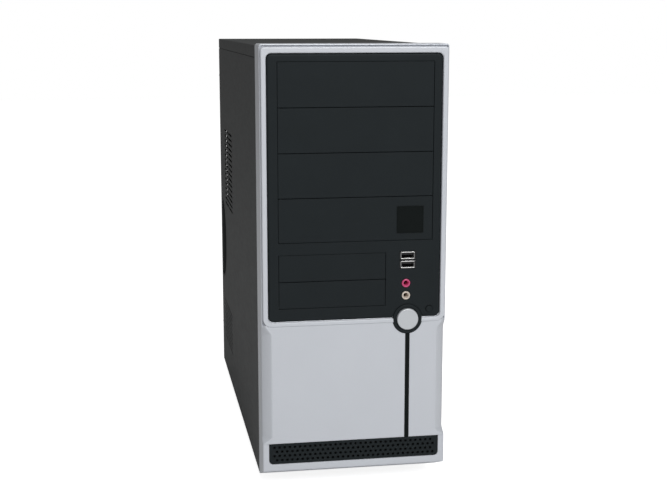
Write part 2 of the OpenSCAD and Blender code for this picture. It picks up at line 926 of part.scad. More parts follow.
// Memory, expansion, disk, power and processor sockets
module board_sockets() {
    color("ivory") {
        for (d = memory_d)
            difference() {
                span([board_x - 9, board_x], [d - 3.2, d + 3.2], memory_z);
                span([board_x - 10, board_x - 2.9], [d - 0.7, d + 0.7],
                    [memory_z[0] + 3.9, memory_z[1] - 3.9]);
            }
        for (i = [1 : 5])
            span([board_x - 11, board_x], [372, 457],
                [slot_top_z - i * slot_pitch - 4.2, slot_top_z - i * slot_pitch + 4.2]);
        span([cpu_base_x + eps, board_x], [cpu_mid[0] - 24, cpu_mid[0] + 24],
            [cpu_mid[1] - 24, cpu_mid[1] + 24]);
        span([board_x - 12, board_x], [226, 236], [215, 268]);
        for (z = [70, 90])
            span([board_x - 9, board_x], [232, 248], [z, z + 8]);
        span([board_x - 9, board_x], [262, 300], [34, 39]);
    }
}

// ---- Rear connectors and covers ----

module slot_covers() {
    color("silver")
        for (i = [0 : slot_count - 1])
            translate([0, 0, slot_top_z - i * slot_pitch]) {
                span([slot_x[0] - 5, slot_x[1] + 4], [rear_in - 1.1, rear_in - 0.1], [-9, 9]);
                span([slot_x[0] - 7.2, slot_x[0] - 6.1], [rear_in - 12, rear_in - 1.1 + eps], [-9, 9]);
                span([slot_x[0] - 7.2, slot_x[0] - 5 + eps], [rear_in - 1.1, rear_in - 0.1], [-9, 9]);
            }
}

// Connector blocks on the board's rear edge: x range, z range, depth past the shield
function port_blocks() = [
    [[43.9, board_x], [315, 329], 0.8],
    [[57, board_x], [273, 304], 0.8],
    [[57, board_x], [236, 267], 0.8],
    [[43, 55.5], [236, 304], 0.8],
    [[54, board_x], [215, 229], 0.8],
    [[40, board_x], [194, 210], 0.8]];

// Rear audio sockets: middles across the width, height and half size of each block
audio_x = [38, 50.5, 63];
audio_z = 182.8;
audio_half = [6, 6.5];

module io_shield() {
    color("silver")
        upright([rear_in + 0.2, case_d - 0.2])
            difference() {
                rect([shield_x[0] + 0.1, shield_x[1] - 0.1], [shield_z[0] + 0.1, shield_z[1] - 0.1]);
                for (b = port_blocks())
                    rect([b[0][0] - 0.4, b[0][1] + 0.4], [b[1][0] - 0.4, b[1][1] + 0.4]);
                rect([audio_x[0] - audio_half[0] - 0.4, audio_x[2] + audio_half[0] + 0.4],
                    [audio_z - audio_half[1] - 0.4, audio_z + audio_half[1] + 0.4]);
            }
}

// Mouth of an upright USB socket, with its tongue left in
module usb_mouth_upright(x, z0) {
    difference() {
        span([x - 2.5, x + 2.5], [460, case_d + 2], [z0, z0 + usb_mouth[0]]);
        span([x - 0.3, x + 1.5], [459, case_d - 1], [z0 + 0.7, z0 + usb_mouth[0] - 0.7]);
    }
}

// A rear D connector: its shell, filled by the insert, and its two jack posts
module d_connector(x, z, half_len) {
    upright([case_d + 0.7, case_d + 5])
        polygon([[x - 4, z - half_len], [x + 4, z - half_len + 1.5],
            [x + 4, z + half_len - 1.5], [x - 4, z + half_len]]);
    for (s = [-1, 1])
        bar_y(x, z + s * (half_len + 4), 2.4, [case_d + 0.7, case_d + 5]);
}

module io_ports() {
    b = port_blocks();
    color("dimgray")
        difference() {
            union() {
                for (p = b)
                    span(p[0], [447, case_d + p[2]], p[1]);
                d_connector(63, 288.5, 8.5);
                d_connector(63, 251.5, 8.5);
                d_connector(49.5, 270, 27);
            }
            for (x = [50.4, 63.4])
                bar_y(x, 322, 4.8, [rear_in, case_d + 2]);
            for (p = [[58, 215.8], [65.5, 215.8], [58.5, 195.8], [65.8, 195.8]])
                usb_mouth_upright(p[0], p[1]);
            span([42, 54], [460, case_d + 2], [196, 208]);
        }
}

module audio_ports() {
    color("dimgray")
        for (x = audio_x)
            difference() {
                span([x - audio_half[0], x + audio_half[0]], [447, case_d + 0.8],
                    [audio_z - audio_half[1], audio_z + audio_half[1]]);
                bar_y(x, audio_z, jack_bore_r, [455, case_d + 2]);
            }
}

// ---- Power supply ----

module psu_base() {
    color("silver") {
        upright([rear_in - sheet, rear_in])
            difference() {
                rect([-psu_half_w, psu_half_w], psu_z);
                translate(psu_fan_mid)
                    fan_holes(psu_fan, 2.2);
                rect([inlet_mid[0] - 14.2, inlet_mid[0] + 14.2], [inlet_mid[1] - 10.2, inlet_mid[1] + 10.2]);
                rect([rocker_mid[0] - 8.4, rocker_mid[0] + 8.4],
                    [rocker_mid[1] - 11.8, rocker_mid[1] + 11.8]);
                for (p = psu_screws())
                    translate(p)
                        circle(1.8);
            }
        upright([psu_front_d, psu_front_d + sheet])
            difference() {
                rect([-psu_half_w, psu_half_w], psu_z);
                for (i = [0 : 19])
                    rect([-66 + i * 5.6, -63 + i * 5.6], [psu_z[0] + 12, psu_z[1] - 14]);
                translate([62, psu_z[0] + 16])
                    circle(8);
            }
        span([-psu_half_w, psu_half_w], [psu_front_d, rear_in], [psu_z[0], psu_z[0] + sheet]);
    }
}

module psu_cover() {
    color("silver") {
        span([-psu_half_w, psu_half_w], [psu_front_d + sheet + 0.1, rear_in - sheet - 0.1],
            [psu_z[1] - sheet, psu_z[1]]);
        for (s = [-1, 1])
            translate([s * (psu_half_w - sheet / 2), 0, 0])
                span([-sheet / 2, sheet / 2], [psu_front_d + sheet + 0.1, rear_in - sheet - 0.1],
                    [psu_z[0] + sheet + 0.1, psu_z[1] - eps]);
    }
}

module psu_fan_frame() {
    color([0.1, 0.1, 0.1])
        at_rear(psu_fan_mid, rear_in - sheet)
            fan_frame(psu_fan, psu_fan_t);
}

module psu_fan_rotor() {
    color([0.15, 0.15, 0.15])
        at_rear(psu_fan_mid, rear_in - sheet)
            fan_rotor(psu_fan, psu_fan_t, 7);
}

module psu_fan_guard() {
    color("silver")
        at_rear(psu_fan_mid, rear_in)
            mirror([0, 0, 1])
                translate([0, 0, -0.9])
                    fan_guard(psu_fan);
}

// Mains inlet and rocker housing, moulded in one
module power_inlet() {
    x = inlet_mid[0];
    color([0.1, 0.1, 0.1]) {
        difference() {
            union() {
                span([x - 16, x + 16], [rear_in + eps, rear_in + 2.2],
                    [inlet_mid[1] - 12.5, rocker_mid[1] + 14]);
                span([x - 14, x + 14], [448, rear_in + 1], [inlet_mid[1] - 10, inlet_mid[1] + 10]);
                span([x - 8.2, x + 8.2], [458, rear_in + 1],
                    [rocker_mid[1] - 11.6, rocker_mid[1] + 11.6]);
            }
            upright([452, rear_in + 3])
                polygon([[x - 12.1, inlet_mid[1] - 8.1], [x + 12.1, inlet_mid[1] - 8.1],
                    [x + 12.1, inlet_mid[1] + 4.5], [x + 8.5, inlet_mid[1] + 8.1],
                    [x - 8.5, inlet_mid[1] + 8.1], [x - 12.1, inlet_mid[1] + 4.5]]);
            span([x - 6.7, x + 6.7], [460, rear_in + 3], [rocker_mid[1] - 10.3, rocker_mid[1] + 10.3]);
            bar_x(pivot_d, rocker_mid[1], 1.26, [x - 7.8, x + 7.8]);
        }
    }
    color("gold")
        for (p = [[-7, -2], [0, 2], [7, -2]])
            span([x + p[0] - 1, x + p[0] + 1], [452 - eps, rear_in - 5],
                [inlet_mid[1] + p[1] - 2, inlet_mid[1] + p[1] + 2]);
}

// Rocker, shown pressed at its upper end
module psu_rocker() {
    x = rocker_mid[0];
    color([0.05, 0.05, 0.05])
        translate([x, fy(pivot_d), rocker_mid[1]])
            rotate([rocker_tilt, 0, 0]) {
                translate([-6.4, 0, 0])
                    rotate([90, 0, 90])
                        linear_extrude(12.8)
                            polygon([[-4, -4], [0, -9.2], [4.5, -9.2], [3.3, 0], [4.5, 9.2],
                                [0, 9.2], [-4, 4]]);
                translate([-7.5, 0, 0])
                    rotate([0, 90, 0])
                        cylinder(r = 1.2, h = 15);
            }
}

// ---- Rear fan ----

module rear_fan_frame() {
    color([0.1, 0.1, 0.1])
        at_rear(rear_fan_mid, rear_in)
            fan_frame(rear_fan, rear_fan_t);
}

module rear_fan_rotor() {
    color([0.15, 0.15, 0.15])
        at_rear(rear_fan_mid, rear_in)
            fan_rotor(rear_fan, rear_fan_t, 7);
}

module rear_fan_guard() {
    color("silver")
        at_rear(rear_fan_mid, case_d)
            mirror([0, 0, 1])
                translate([0, 0, -0.9])
                    fan_guard(rear_fan);
}

// ---- Cables ----

// Route points are in X, depth behind the front plane, and Z
power_route = [[62, 336, 357], [62, 318, 357], [60, 300, 354], [54, 280, 344], [44, 262, 326],
    [34, 248, 302], [29, 238, 278], [31, 232, 258], [38, 231, 246], [48, 231, 241.5],
    [57.9, 231, 241.5]];
data_route = [[-20, 191, 148], [-20, 203, 148], [-14, 218, 141], [4, 232, 122], [22, 240, 104],
    [38, 244, 88], [50, 241, 77], [60.9, 240, 74]];
panel_route = [[62, 21.6, 172], [62, 32, 172], [62, 44, 166], [62, 62, 144], [62, 90, 110],
    [62, 125, 80], [62, 165, 58], [63, 205, 44], [65, 240, 37.5], [65.5, 262, 36.5]];

// Smooth curve through four neighbours, at t between the middle two
function blend(a, b, c, d, t) =
    0.5 * ((2 * b) + (c - a) * t + (2 * a - 5 * b + 4 * c - d) * t * t
    + (3 * b - a - 3 * c + d) * t * t * t);
function smooth(p, n) = [for (i = [0 : len(p) - 2], k = [0 : n - 1])
    blend(p[max(i - 1, 0)], p[i], p[i + 1], p[min(i + 2, len(p) - 1)], k / n),
    p[len(p) - 1]];
function unit(v) = v / norm(v);
function heading(p, i) = unit(p[min(i + 1, len(p) - 1)] - p[max(i - 1, 0)]);
function across(v) = unit(cross(v, abs(v[2]) > 0.9 ? [1, 0, 0] : [0, 0, 1]));

// A closed tube swept along a route
module tube(route, r, sides, n) {
    p = smooth(route, n);
    rings = [for (i = [0 : len(p) - 1])
        let (t = heading(p, i), u = across(t), v = cross(t, u))
        [for (k = [0 : sides - 1])
            let (a = 360 * k / sides)
            [p[i][0], fy(p[i][1]), p[i][2]] + r * (cos(a) * u + sin(a) * v)]];
    points = [for (ring = rings) each ring];
    last = (len(p) - 1) * sides;
    walls = [for (i = [0 : len(p) - 2], k = [0 : sides - 1])
        let (a = i * sides + k, b = i * sides + (k + 1) % sides)
        [b, a, a + sides, b + sides]];
    ends = [[for (k = [0 : sides - 1]) k], [for (k = [sides - 1 : -1 : 0]) last + k]];
    polyhedron(points, concat(walls, ends), convexity = 6);
}

module power_cable() {
    color("yellow")
        tube(power_route, 4.5, 12, 2);
}

module data_cable() {
    color("red")
        tube(data_route, 2, 8, 3);
}

module panel_cable() {
    color("gray")
        tube(panel_route, 2, 8, 2);
}

// ---- Fasteners and feet ----

module pan_head_y(x, z, d) {
    difference() {
        union() {
            bar_y(x, z, 3.4, [d, d + 1.9]);
            bar_y(x, z, 1.6, [d - 5, d + 0.5]);
        }
        span([x - 2, x + 2], [d + 1, d + 3], [z - 0.4, z + 0.4]);
        span([x - 0.4, x + 0.4], [d + 1, d + 3], [z - 2, z + 2]);
    }
}

module case_screws() {
    color("silver") {
        for (p = psu_screws())
            pan_head_y(p[0], p[1], case_d);
        for (p = fan_corners(rear_fan))
            pan_head_y(rear_fan_mid[0] + p[0], rear_fan_mid[1] + p[1], case_d + 1.8);
        for (p = fan_corners(psu_fan))
            pan_head_y(psu_fan_mid[0] + p[0], psu_fan_mid[1] + p[1], rear_in + 1.8);
        for (d = standoff_d, z = standoff_z)
            bar_x(d, z, 3, [board_x - 1.9, board_x]);
        for (i = [0 : slot_count - 1])
            bar_x(rear_in - 7, slot_top_z - i * slot_pitch, 3, [slot_x[0] - 9.2, slot_x[0] - 7.2]);
    }
}

module feet() {
    color([0.08, 0.08, 0.08])
        for (px = [-60, 60], d = [90, 420])
            translate([px, fy(d), 0])
                difference() {
                    union() {
                        cylinder(r1 = 12, r2 = 14, h = 3);
                        translate([0, 0, 3 - eps])
                            cylinder(r = 14, h = foot_h - 3);
                        translate([0, 0, foot_h - 2])
                            cylinder(r = 2, h = sheet + 3);
                    }
                    translate([0, 0, -1])
                        cylinder(r = 6, h = 3);
                }
}

base_pan();
rear_panel();
front_plate();
motherboard_tray();
top_cover();
left_side_panel();
right_side_panel();
left_panel_screws();
right_panel_screws();
optical_cage();
drive_cage();
front_bezel();
fascia();
bay_cover_1();
bay_cover_2();
bay_cover_3();
bay_cover_4();
small_bay_cover_1();
small_bay_cover_2();
badge();
lower_grille();
light_strip();
button_ring();
power_button();
reset_button();
front_switches();
usb_shells();
usb_tongues();
mic_jack();
earphone_jack();
front_io_board();
indicator_leds();
motherboard();
standoffs();
cpu_heatsink();
cpu_fan_frame();
cpu_fan_rotor();
chipset_heatsink();
memory_modules();
board_sockets();
slot_covers();
io_shield();
io_ports();
audio_ports();
psu_base();
psu_cover();
psu_fan_frame();
psu_fan_rotor();
psu_fan_guard();
power_inlet();
psu_rocker();
rear_fan_frame();
rear_fan_rotor();
rear_fan_guard();
hard_drive();
power_cable();
data_cable();
panel_cable();
case_screws();
feet();
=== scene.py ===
"""Looks of an upright desktop computer, built round its packed design.

Sizes are in millimetres: +X is to the right, +Z is up, and depths are measured back from the front
of the fascia. A Form turns them into metres when it becomes a piece.
"""

import json
import logging
import math
from collections.abc import Callable, Sequence
from dataclasses import dataclass, field
from enum import Enum

import bmesh
import bpy
from mathutils import Matrix, Vector

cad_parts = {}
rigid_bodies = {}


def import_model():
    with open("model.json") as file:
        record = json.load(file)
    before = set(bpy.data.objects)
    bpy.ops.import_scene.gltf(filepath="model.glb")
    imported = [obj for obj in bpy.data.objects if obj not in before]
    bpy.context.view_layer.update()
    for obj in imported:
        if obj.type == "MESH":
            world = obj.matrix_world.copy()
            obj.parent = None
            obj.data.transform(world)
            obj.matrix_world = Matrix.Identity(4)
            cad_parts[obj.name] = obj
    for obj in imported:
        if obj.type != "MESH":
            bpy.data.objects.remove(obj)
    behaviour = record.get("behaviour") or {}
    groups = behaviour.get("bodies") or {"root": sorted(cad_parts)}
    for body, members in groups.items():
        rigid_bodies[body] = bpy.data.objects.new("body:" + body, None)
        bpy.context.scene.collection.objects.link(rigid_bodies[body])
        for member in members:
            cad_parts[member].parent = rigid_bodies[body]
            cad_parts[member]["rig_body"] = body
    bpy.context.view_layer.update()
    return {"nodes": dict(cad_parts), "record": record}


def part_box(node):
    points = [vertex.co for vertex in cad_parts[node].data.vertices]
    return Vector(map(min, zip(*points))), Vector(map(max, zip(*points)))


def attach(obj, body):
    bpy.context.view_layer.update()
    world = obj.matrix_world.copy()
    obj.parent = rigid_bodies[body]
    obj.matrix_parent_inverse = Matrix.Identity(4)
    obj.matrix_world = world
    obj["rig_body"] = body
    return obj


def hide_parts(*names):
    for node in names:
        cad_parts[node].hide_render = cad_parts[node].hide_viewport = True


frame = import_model()
MM = 0.001
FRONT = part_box("fascia")[0].y / MM
TOWER = "tower"
SHARP_TURN = 42.0
CORNER_TURN = 60.0
BACK = Vector((0, 1, 0))
Colour = tuple[float, float, float]
Outline = list[tuple[float, float]]
log = logging.getLogger("tower")


def at(x: float, depth: float, z: float) -> Vector:
    """A point in millimetres, given its depth behind the front plane."""
    return Vector((x, FRONT + depth, z))


def ease(t: float) -> float:
    """A smooth step from 0 to 1."""
    return t * t * (3 - 2 * t)


class Room:
    """The box of a CAD node in millimetres, with the depth in Y."""

    def __init__(self, node: str) -> None:
        """Read the node's lowest and highest corner, and their middle.

        Args:
            node: The node's name.
        """
        self.low, self.high = (corner / MM - Vector((0, FRONT, 0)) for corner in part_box(node))
        self.mid = (self.low + self.high) / 2


# ---- Shader maths ----


class Value:
    """A node's output that takes part in Python expressions."""

    def __init__(self, paint: "Paint", socket: bpy.types.NodeSocket) -> None:
        """Keep the socket and the material that it belongs to."""
        self.paint = paint
        self.socket = socket

    def _with(self, operation: str, first: object, second: object) -> "Value":
        """Add a Math node on two values or numbers."""
        node = self.paint.node("ShaderNodeMath", {"operation": operation}, {0: first, 1: second})
        return Value(self.paint, node.outputs[0])

    def __add__(self, other: object) -> "Value":
        """Sum."""
        return self._with("ADD", self, other)

    __radd__ = __add__

    def __sub__(self, other: object) -> "Value":
        """Difference."""
        return self._with("SUBTRACT", self, other)

    def __rsub__(self, other: object) -> "Value":
        """Difference from a number."""
        return self._with("SUBTRACT", other, self)

    def __mul__(self, other: object) -> "Value":
        """Product."""
        return self._with("MULTIPLY", self, other)

    __rmul__ = __mul__

    def __gt__(self, other: object) -> "Value":
        """1 where this is the greater, and 0 elsewhere."""
        return self._with("GREATER_THAN", self, other)

    def __lt__(self, other: object) -> "Value":
        """1 where this is the smaller, and 0 elsewhere."""
        return self._with("LESS_THAN", self, other)


class Paint:
    """A material that is being put together from nodes."""

    def __init__(self, name: str) -> None:
        """Start an empty material with a Principled shader.

        Args:
            name: The material's name.
        """
        self.material = bpy.data.materials.new(name)
        self.material.use_nodes = True
        self.tree = self.material.node_tree
        self.shader = self.tree.nodes["Principled BSDF"]
        self.place = self.node("ShaderNodeTexCoord").outputs["Object"]

    def node(self, kind: str, settings: dict | None = None, inputs: dict | None = None) -> bpy.types.Node:
        """Add a node.

        Args:
            kind: The node's type.
            settings: Its properties, and "stops" for a colour ramp.
            inputs: A number, colour, socket or Value for each named or numbered socket.

        Returns:
            The new node.
        """
        made = self.tree.nodes.new(kind)
        for key, value in (settings or {}).items():
            if key == "stops":
                ramp = made.color_ramp.elements
                while len(ramp) < len(value):
                    ramp.new(0.5)
                for stop, (position, colour) in zip(ramp, value):
                    stop.position = position
                    stop.color = (*colour, 1.0)
            else:
                setattr(made, key, value)
        for key, value in (inputs or {}).items():
            self.feed(made.inputs[key], value)
        return made

    def feed(self, socket: bpy.types.NodeSocket, value: object) -> None:
        """Link a Value or socket to an input, or set a number or colour on it.

        Args:
            socket: The input.
            value: What it gets.
        """
        if isinstance(value, Value):
            value = value.socket
        if isinstance(value, bpy.types.NodeSocket):
            self.tree.links.new(value, socket)
        elif isinstance(value, tuple) and socket.type == "RGBA":
            socket.default_value = (*value, 1.0)
        else:
            socket.default_value = value

    def stretched(self, scale: Colour) -> bpy.types.NodeSocket:
        """Object coordinates, scaled on each axis."""
        return self.node("ShaderNodeMapping", {}, {"Vector": self.place, "Scale": scale}).outputs[0]

    def noise(self, size: float, detail: float = 2.0, scale: Colour = (1, 1, 1)) -> Value:
        """Soft noise whose lumps are about size millimetres across.

        Args:
            size: About how wide a lump is, in millimetres.
            detail: How many finer layers are added.
            scale: How much each axis is squeezed.

        Returns:
            The noise, about 0.5 on average.
        """
        made = self.node("ShaderNodeTexNoise", {}, {"Vector": self.stretched(scale),
                         "Scale": 1 / (size * MM), "Detail": detail})
        return Value(self, made.outputs[0])

    def cells(self, size: float, output: str = "Distance") -> Value:
        """Cells about size millimetres across.

        Args:
            size: About how wide a cell is, in millimetres.
            output: Distance to a cell's middle, or a random Color for each cell.

        Returns:
            The chosen output.
        """
        made = self.node("ShaderNodeTexVoronoi", {}, {"Vector": self.place, "Scale": 1 / (size * MM)})
        return Value(self, made.outputs[output])

    def blend(self, share: object, first: object, second: object) -> bpy.types.NodeSocket:
        """Mix two colours."""
        made = self.node("ShaderNodeMix", {"data_type": "RGBA"}, {0: share, 6: first, 7: second})
        return made.outputs[2]

    def bumps(self, height: Value, depth: float, strength: float = 1.0) -> None:
        """Raise the surface by a height that runs from 0 to 1, depth millimetres deep.

        Args:
            height: The height at each point.
            depth: How far 0 and 1 are apart, in millimetres.
            strength: The share of the effect that shows.
        """
        made = self.node("ShaderNodeBump", {}, {"Height": height, "Strength": strength,
                         "Distance": depth * MM})
        self.feed(self.shader.inputs["Normal"], made.outputs[0])

    def surface(self, **inputs: object) -> bpy.types.Material:
        """Set the shader's inputs, written with _ for a space, and return the material.

        Args:
            inputs: A number, colour, socket or Value for each input.

        Returns:
            The finished material.
        """
        for name, value in inputs.items():
            self.feed(self.shader.inputs[name.replace("_", " ")], value)
        return self.material


def shade(colour: Colour, factor: float) -> Colour:
    """A colour made lighter or darker."""
    return tuple(min(1.0, c * factor) for c in colour)


# ---- Finishes ----


@dataclass(frozen=True)
class Moulding:
    """Moulded plastic or rubber with a fine grain and faint mottling."""

    colour: Colour
    roughness: float = 0.5
    grain: float = 0.5
    grain_depth: float = 0.03
    mottle: float = 0.12
    coat: float = 0.0
    gloss: float = 0.5

    def make(self, name: str) -> bpy.types.Material:
        """Build the material.

        Args:
            name: The material's name.

        Returns:
            The finished material.
        """
        paint = Paint(name)
        cloud = paint.noise(26.0, 4.0)
        fine = paint.noise(self.grain, 3.0)
        paint.bumps(fine, self.grain_depth, 0.6)
        base = paint.blend(cloud, shade(self.colour, 1 - self.mottle), shade(self.colour, 1 + self.mottle))
        rough = self.roughness - 0.06 + 0.12 * paint.noise(7.0, 5.0)
        return paint.surface(Base_Color=base, Roughness=rough, Coat_Weight=self.coat, Coat_Roughness=0.2,
                             Specular_IOR_Level=self.gloss)


@dataclass(frozen=True)
class Lacquer:
    """Silver lacquer: tiny flakes in a satin coat over smooth plastic."""

    colour: Colour
    roughness: float = 0.4
    metallic: float = 0.2
    flake: float = 0.35

    def make(self, name: str) -> bpy.types.Material:
        """Build the material.

        Args:
            name: The material's name.

        Returns:
            The finished material.
        """
        paint = Paint(name)
        flakes = paint.cells(self.flake, output="Color")
        cloud = paint.noise(60.0, 3.0)
        tint = paint.blend(cloud, shade(self.colour, 0.96), shade(self.colour, 1.03))
        base = paint.blend(0.12 * flakes, tint, shade(self.colour, 1.25))
        rough = self.roughness - 0.04 + 0.05 * paint.noise(9.0, 6.0) + 0.05 * flakes
        paint.bumps(paint.noise(1.1, 2.0), 0.012, 0.35)
        return paint.surface(Base_Color=base, Roughness=rough, Metallic=self.metallic,
                             Coat_Weight=0.25, Coat_Roughness=0.25)


@dataclass(frozen=True)
class PowderCoat:
    """Textured black paint on sheet steel, with a little dust and handling marks."""

    colour: Colour
    roughness: float = 0.5
    texture: float = 0.7
    gloss: float = 0.2

    def make(self, name: str) -> bpy.types.Material:
        """Build the material.

        Args:
            name: The material's name.

        Returns:
            The finished material.
        """
        paint = Paint(name)
        peel = paint.noise(self.texture, 3.0)
        dust = paint.noise(38.0, 6.0)
        smear = paint.noise(4.0, 4.0, (1.0, 0.25, 1.0))
        base = paint.blend(dust, shade(self.colour, 0.85), shade(self.colour, 1.22))
        rough = self.roughness - 0.05 + 0.1 * smear + 0.06 * dust
        paint.bumps(peel, 0.05, 0.5)
        return paint.surface(Base_Color=base, Roughness=rough, Specular_IOR_Level=self.gloss)


@dataclass(frozen=True)
class Galvanised:
    """Bare zinc-plated sheet: a faint spangle with rolling streaks."""

    colour: Colour
    roughness: float = 0.42
    streak: Colour = (6.0, 0.5, 6.0)

    def make(self, name: str) -> bpy.types.Material:
        """Build the material.

        Args:
            name: The material's name.

        Returns:
            The finished material.
        """
        paint = Paint(name)
        spangle = paint.cells(5.0, output="Color")
        streaks = paint.noise(5.0, 5.0, self.streak)
        base = paint.blend(0.6 * spangle + 0.4 * streaks, shade(self.colour, 0.8), shade(self.colour, 1.12))
        rough = self.roughness - 0.1 + 0.12 * spangle + 0.14 * streaks
        paint.bumps(streaks, 0.02, 0.4)
        return paint.surface(Base_Color=base, Roughness=rough, Metallic=0.9)


@dataclass(frozen=True)
class Metal:
    """Plated, turned or extruded metal with fine tool marks along one axis."""

    colour: Colour
    roughness: float = 0.25
    marks: Colour = (1.0, 12.0, 1.0)
    mark_depth: float = 0.01

    def make(self, name: str) -> bpy.types.Material:
        """Build the material.

        Args:
            name: The material's name.

        Returns:
            The finished material.
        """
        paint = Paint(name)
        lines = paint.noise(3.0, 6.0, self.marks)
        haze = paint.noise(12.0, 4.0)
        base = paint.blend(haze, shade(self.colour, 0.88), shade(self.colour, 1.06))
        rough = self.roughness - 0.05 + 0.12 * lines + 0.06 * haze
        paint.bumps(lines, self.mark_depth, 0.5)
        return paint.surface(Base_Color=base, Roughness=rough, Metallic=1.0)


@dataclass(frozen=True)
class Laminate:
    """A printed board: solder mask over copper tracks and plated through holes, whose middles are painted
    near-black as the shade inside them.
    """

    mask: Colour
    track: Colour
    pitch: float = 2.6

    def make(self, name: str) -> bpy.types.Material:
        """Build the material.

        Args:
            name: The material's name.

        Returns:
            The finished material.
        """
        paint = Paint(name)
        wander = paint.noise(24.0, 1.0)
        turned = paint.node("ShaderNodeMapping", {},
                            {"Vector": paint.place, "Rotation": (0.0, math.pi / 2, 0.0)})
        rows = paint.node("ShaderNodeTexBrick", {"offset": 0.35, "squash": 1.7, "squash_frequency": 3},
                          {"Vector": turned.outputs[0], "Scale": 1 / (self.pitch * MM),
                           "Mortar Size": 0.16, "Mortar Smooth": 0.0, "Brick Width": 3.4, "Row Height": 0.5})
        tracks = Value(paint, rows.outputs["Fac"]) * (wander > 0.46)
        # Each hole's middle is painted near-black: painted shade for the dark inside of the hole.
        holes = paint.cells(6.2) < 0.1
        rings = paint.cells(6.2) < 0.19
        green = paint.blend(tracks, self.mask, self.track)
        tinned = paint.blend(rings, green, (0.55, 0.52, 0.42))
        base = paint.blend(holes, tinned, (0.01, 0.01, 0.01))
        paint.bumps(tracks + 0.5 * rings, 0.04, 0.6)
        return paint.surface(Base_Color=base, Roughness=0.34 + 0.1 * wander, Metallic=0.6 * rings,
                             Coat_Weight=0.3, Coat_Roughness=0.15)


@dataclass(frozen=True)
class Lens:
    """A tinted translucent lens, frosted inside."""

    colour: Colour

    def make(self, name: str) -> bpy.types.Material:
        """Build the material.

        Args:
            name: The material's name.

        Returns:
            The finished material.
        """
        paint = Paint(name)
        frost = paint.noise(1.2, 3.0)
        base = paint.blend(frost, self.colour, shade(self.colour, 1.3))
        return paint.surface(Base_Color=base, Roughness=0.15 + 0.2 * frost, Coat_Weight=0.6,
                             Coat_Roughness=0.08, Transmission_Weight=0.3)


class Finish(Enum):
    """The finishes of this object, by the slot of the record that each stands for."""

    CASE_STEEL = ("case_steel_black", PowderCoat((0.034, 0.037, 0.037), 0.55, 0.7, 0.3))
    CHASSIS = ("chassis_steel", Galvanised((0.5, 0.51, 0.52)))
    SILVER = ("silver_plastic", Lacquer((0.605, 0.63, 0.675)))
    DARK = ("dark_plastic", Moulding((0.0145, 0.0185, 0.0205), 0.5, 0.45, 0.03, 0.08, 0.0, 0.1))
    BADGE = ("badge_black", Moulding((0.004, 0.006, 0.006), 0.36, 1.6, 0.02, 0.3, 0.0, 0.1))
    BUTTON = ("button_silver", Lacquer((0.56, 0.585, 0.61), 0.36, 0.2, 0.5))
    PLATED = ("plated_steel", Metal((0.72, 0.72, 0.71), 0.24))
    CHROME = ("chrome_wire", Metal((0.78, 0.78, 0.8), 0.14, (3.0, 3.0, 3.0), 0.004))
    BLACK = ("black_plastic", Moulding((0.015, 0.015, 0.016), 0.42, 0.6, 0.025, 0.15, 0.0, 0.35))
    PINK = ("pink_plastic", Moulding((0.62, 0.07, 0.2), 0.3, 0.9, 0.01, 0.1, 0.4))
    PALE = ("pale_plastic", Moulding((0.64, 0.56, 0.49), 0.3, 0.9, 0.01, 0.08, 0.4))
    BOARD = ("board_green", Laminate((0.012, 0.11, 0.04), (0.03, 0.2, 0.07)))
    SOCKET = ("socket_plastic", Moulding((0.66, 0.63, 0.53), 0.4, 0.8, 0.02, 0.06))
    BRASS = ("brass", Metal((0.72, 0.55, 0.22), 0.28))
    FINS = ("fin_aluminium", Metal((0.74, 0.75, 0.77), 0.3, (1.0, 9.0, 1.0), 0.02))
    LENS = ("led_lens", Lens((0.35, 0.62, 0.4)))
    DISK = ("disk_case", Metal((0.56, 0.57, 0.59), 0.38, (4.0, 4.0, 4.0), 0.03))
    YELLOW = ("yellow_lead", Moulding((0.75, 0.5, 0.06), 0.38, 1.2, 0.02, 0.1))
    RED = ("red_lead", Moulding((0.5, 0.02, 0.02), 0.35, 1.2, 0.02, 0.1))
    GREY = ("grey_lead", Moulding((0.32, 0.32, 0.33), 0.42, 1.2, 0.02, 0.1))
    RUBBER = ("foot_rubber", Moulding((0.02, 0.02, 0.02), 0.75, 0.9, 0.06, 0.2))

    def __init__(self, slot: str, recipe: object) -> None:
        """Keep the slot's name and the recipe."""
        self.slot = slot
        self.recipe = recipe

    def material(self) -> bpy.types.Material:
        """The material, made once."""
        name = f"{self.slot}_finish"
        return bpy.data.materials.get(name) or self.recipe.make(name)

    @classmethod
    def of(cls, node: str) -> "Finish":
        """The finish that the record gives a node."""
        slots = {part["node"]: part["material_slot"] for part in frame["record"]["subparts"]}
        return next(finish for finish in cls if finish.slot == slots[node])


@dataclass(frozen=True)
class Tinted:
    """A finish of the object in another colour, such as one wire of a bundle."""

    like: Finish
    name: str
    recipe: object

    @property
    def slot(self) -> str:
        """The record's slot that it goes with."""
        return self.like.slot

    def material(self) -> bpy.types.Material:
        """The material, made once."""
        return bpy.data.materials.get(self.name) or self.recipe.make(self.name)


# ---- Shapes ----


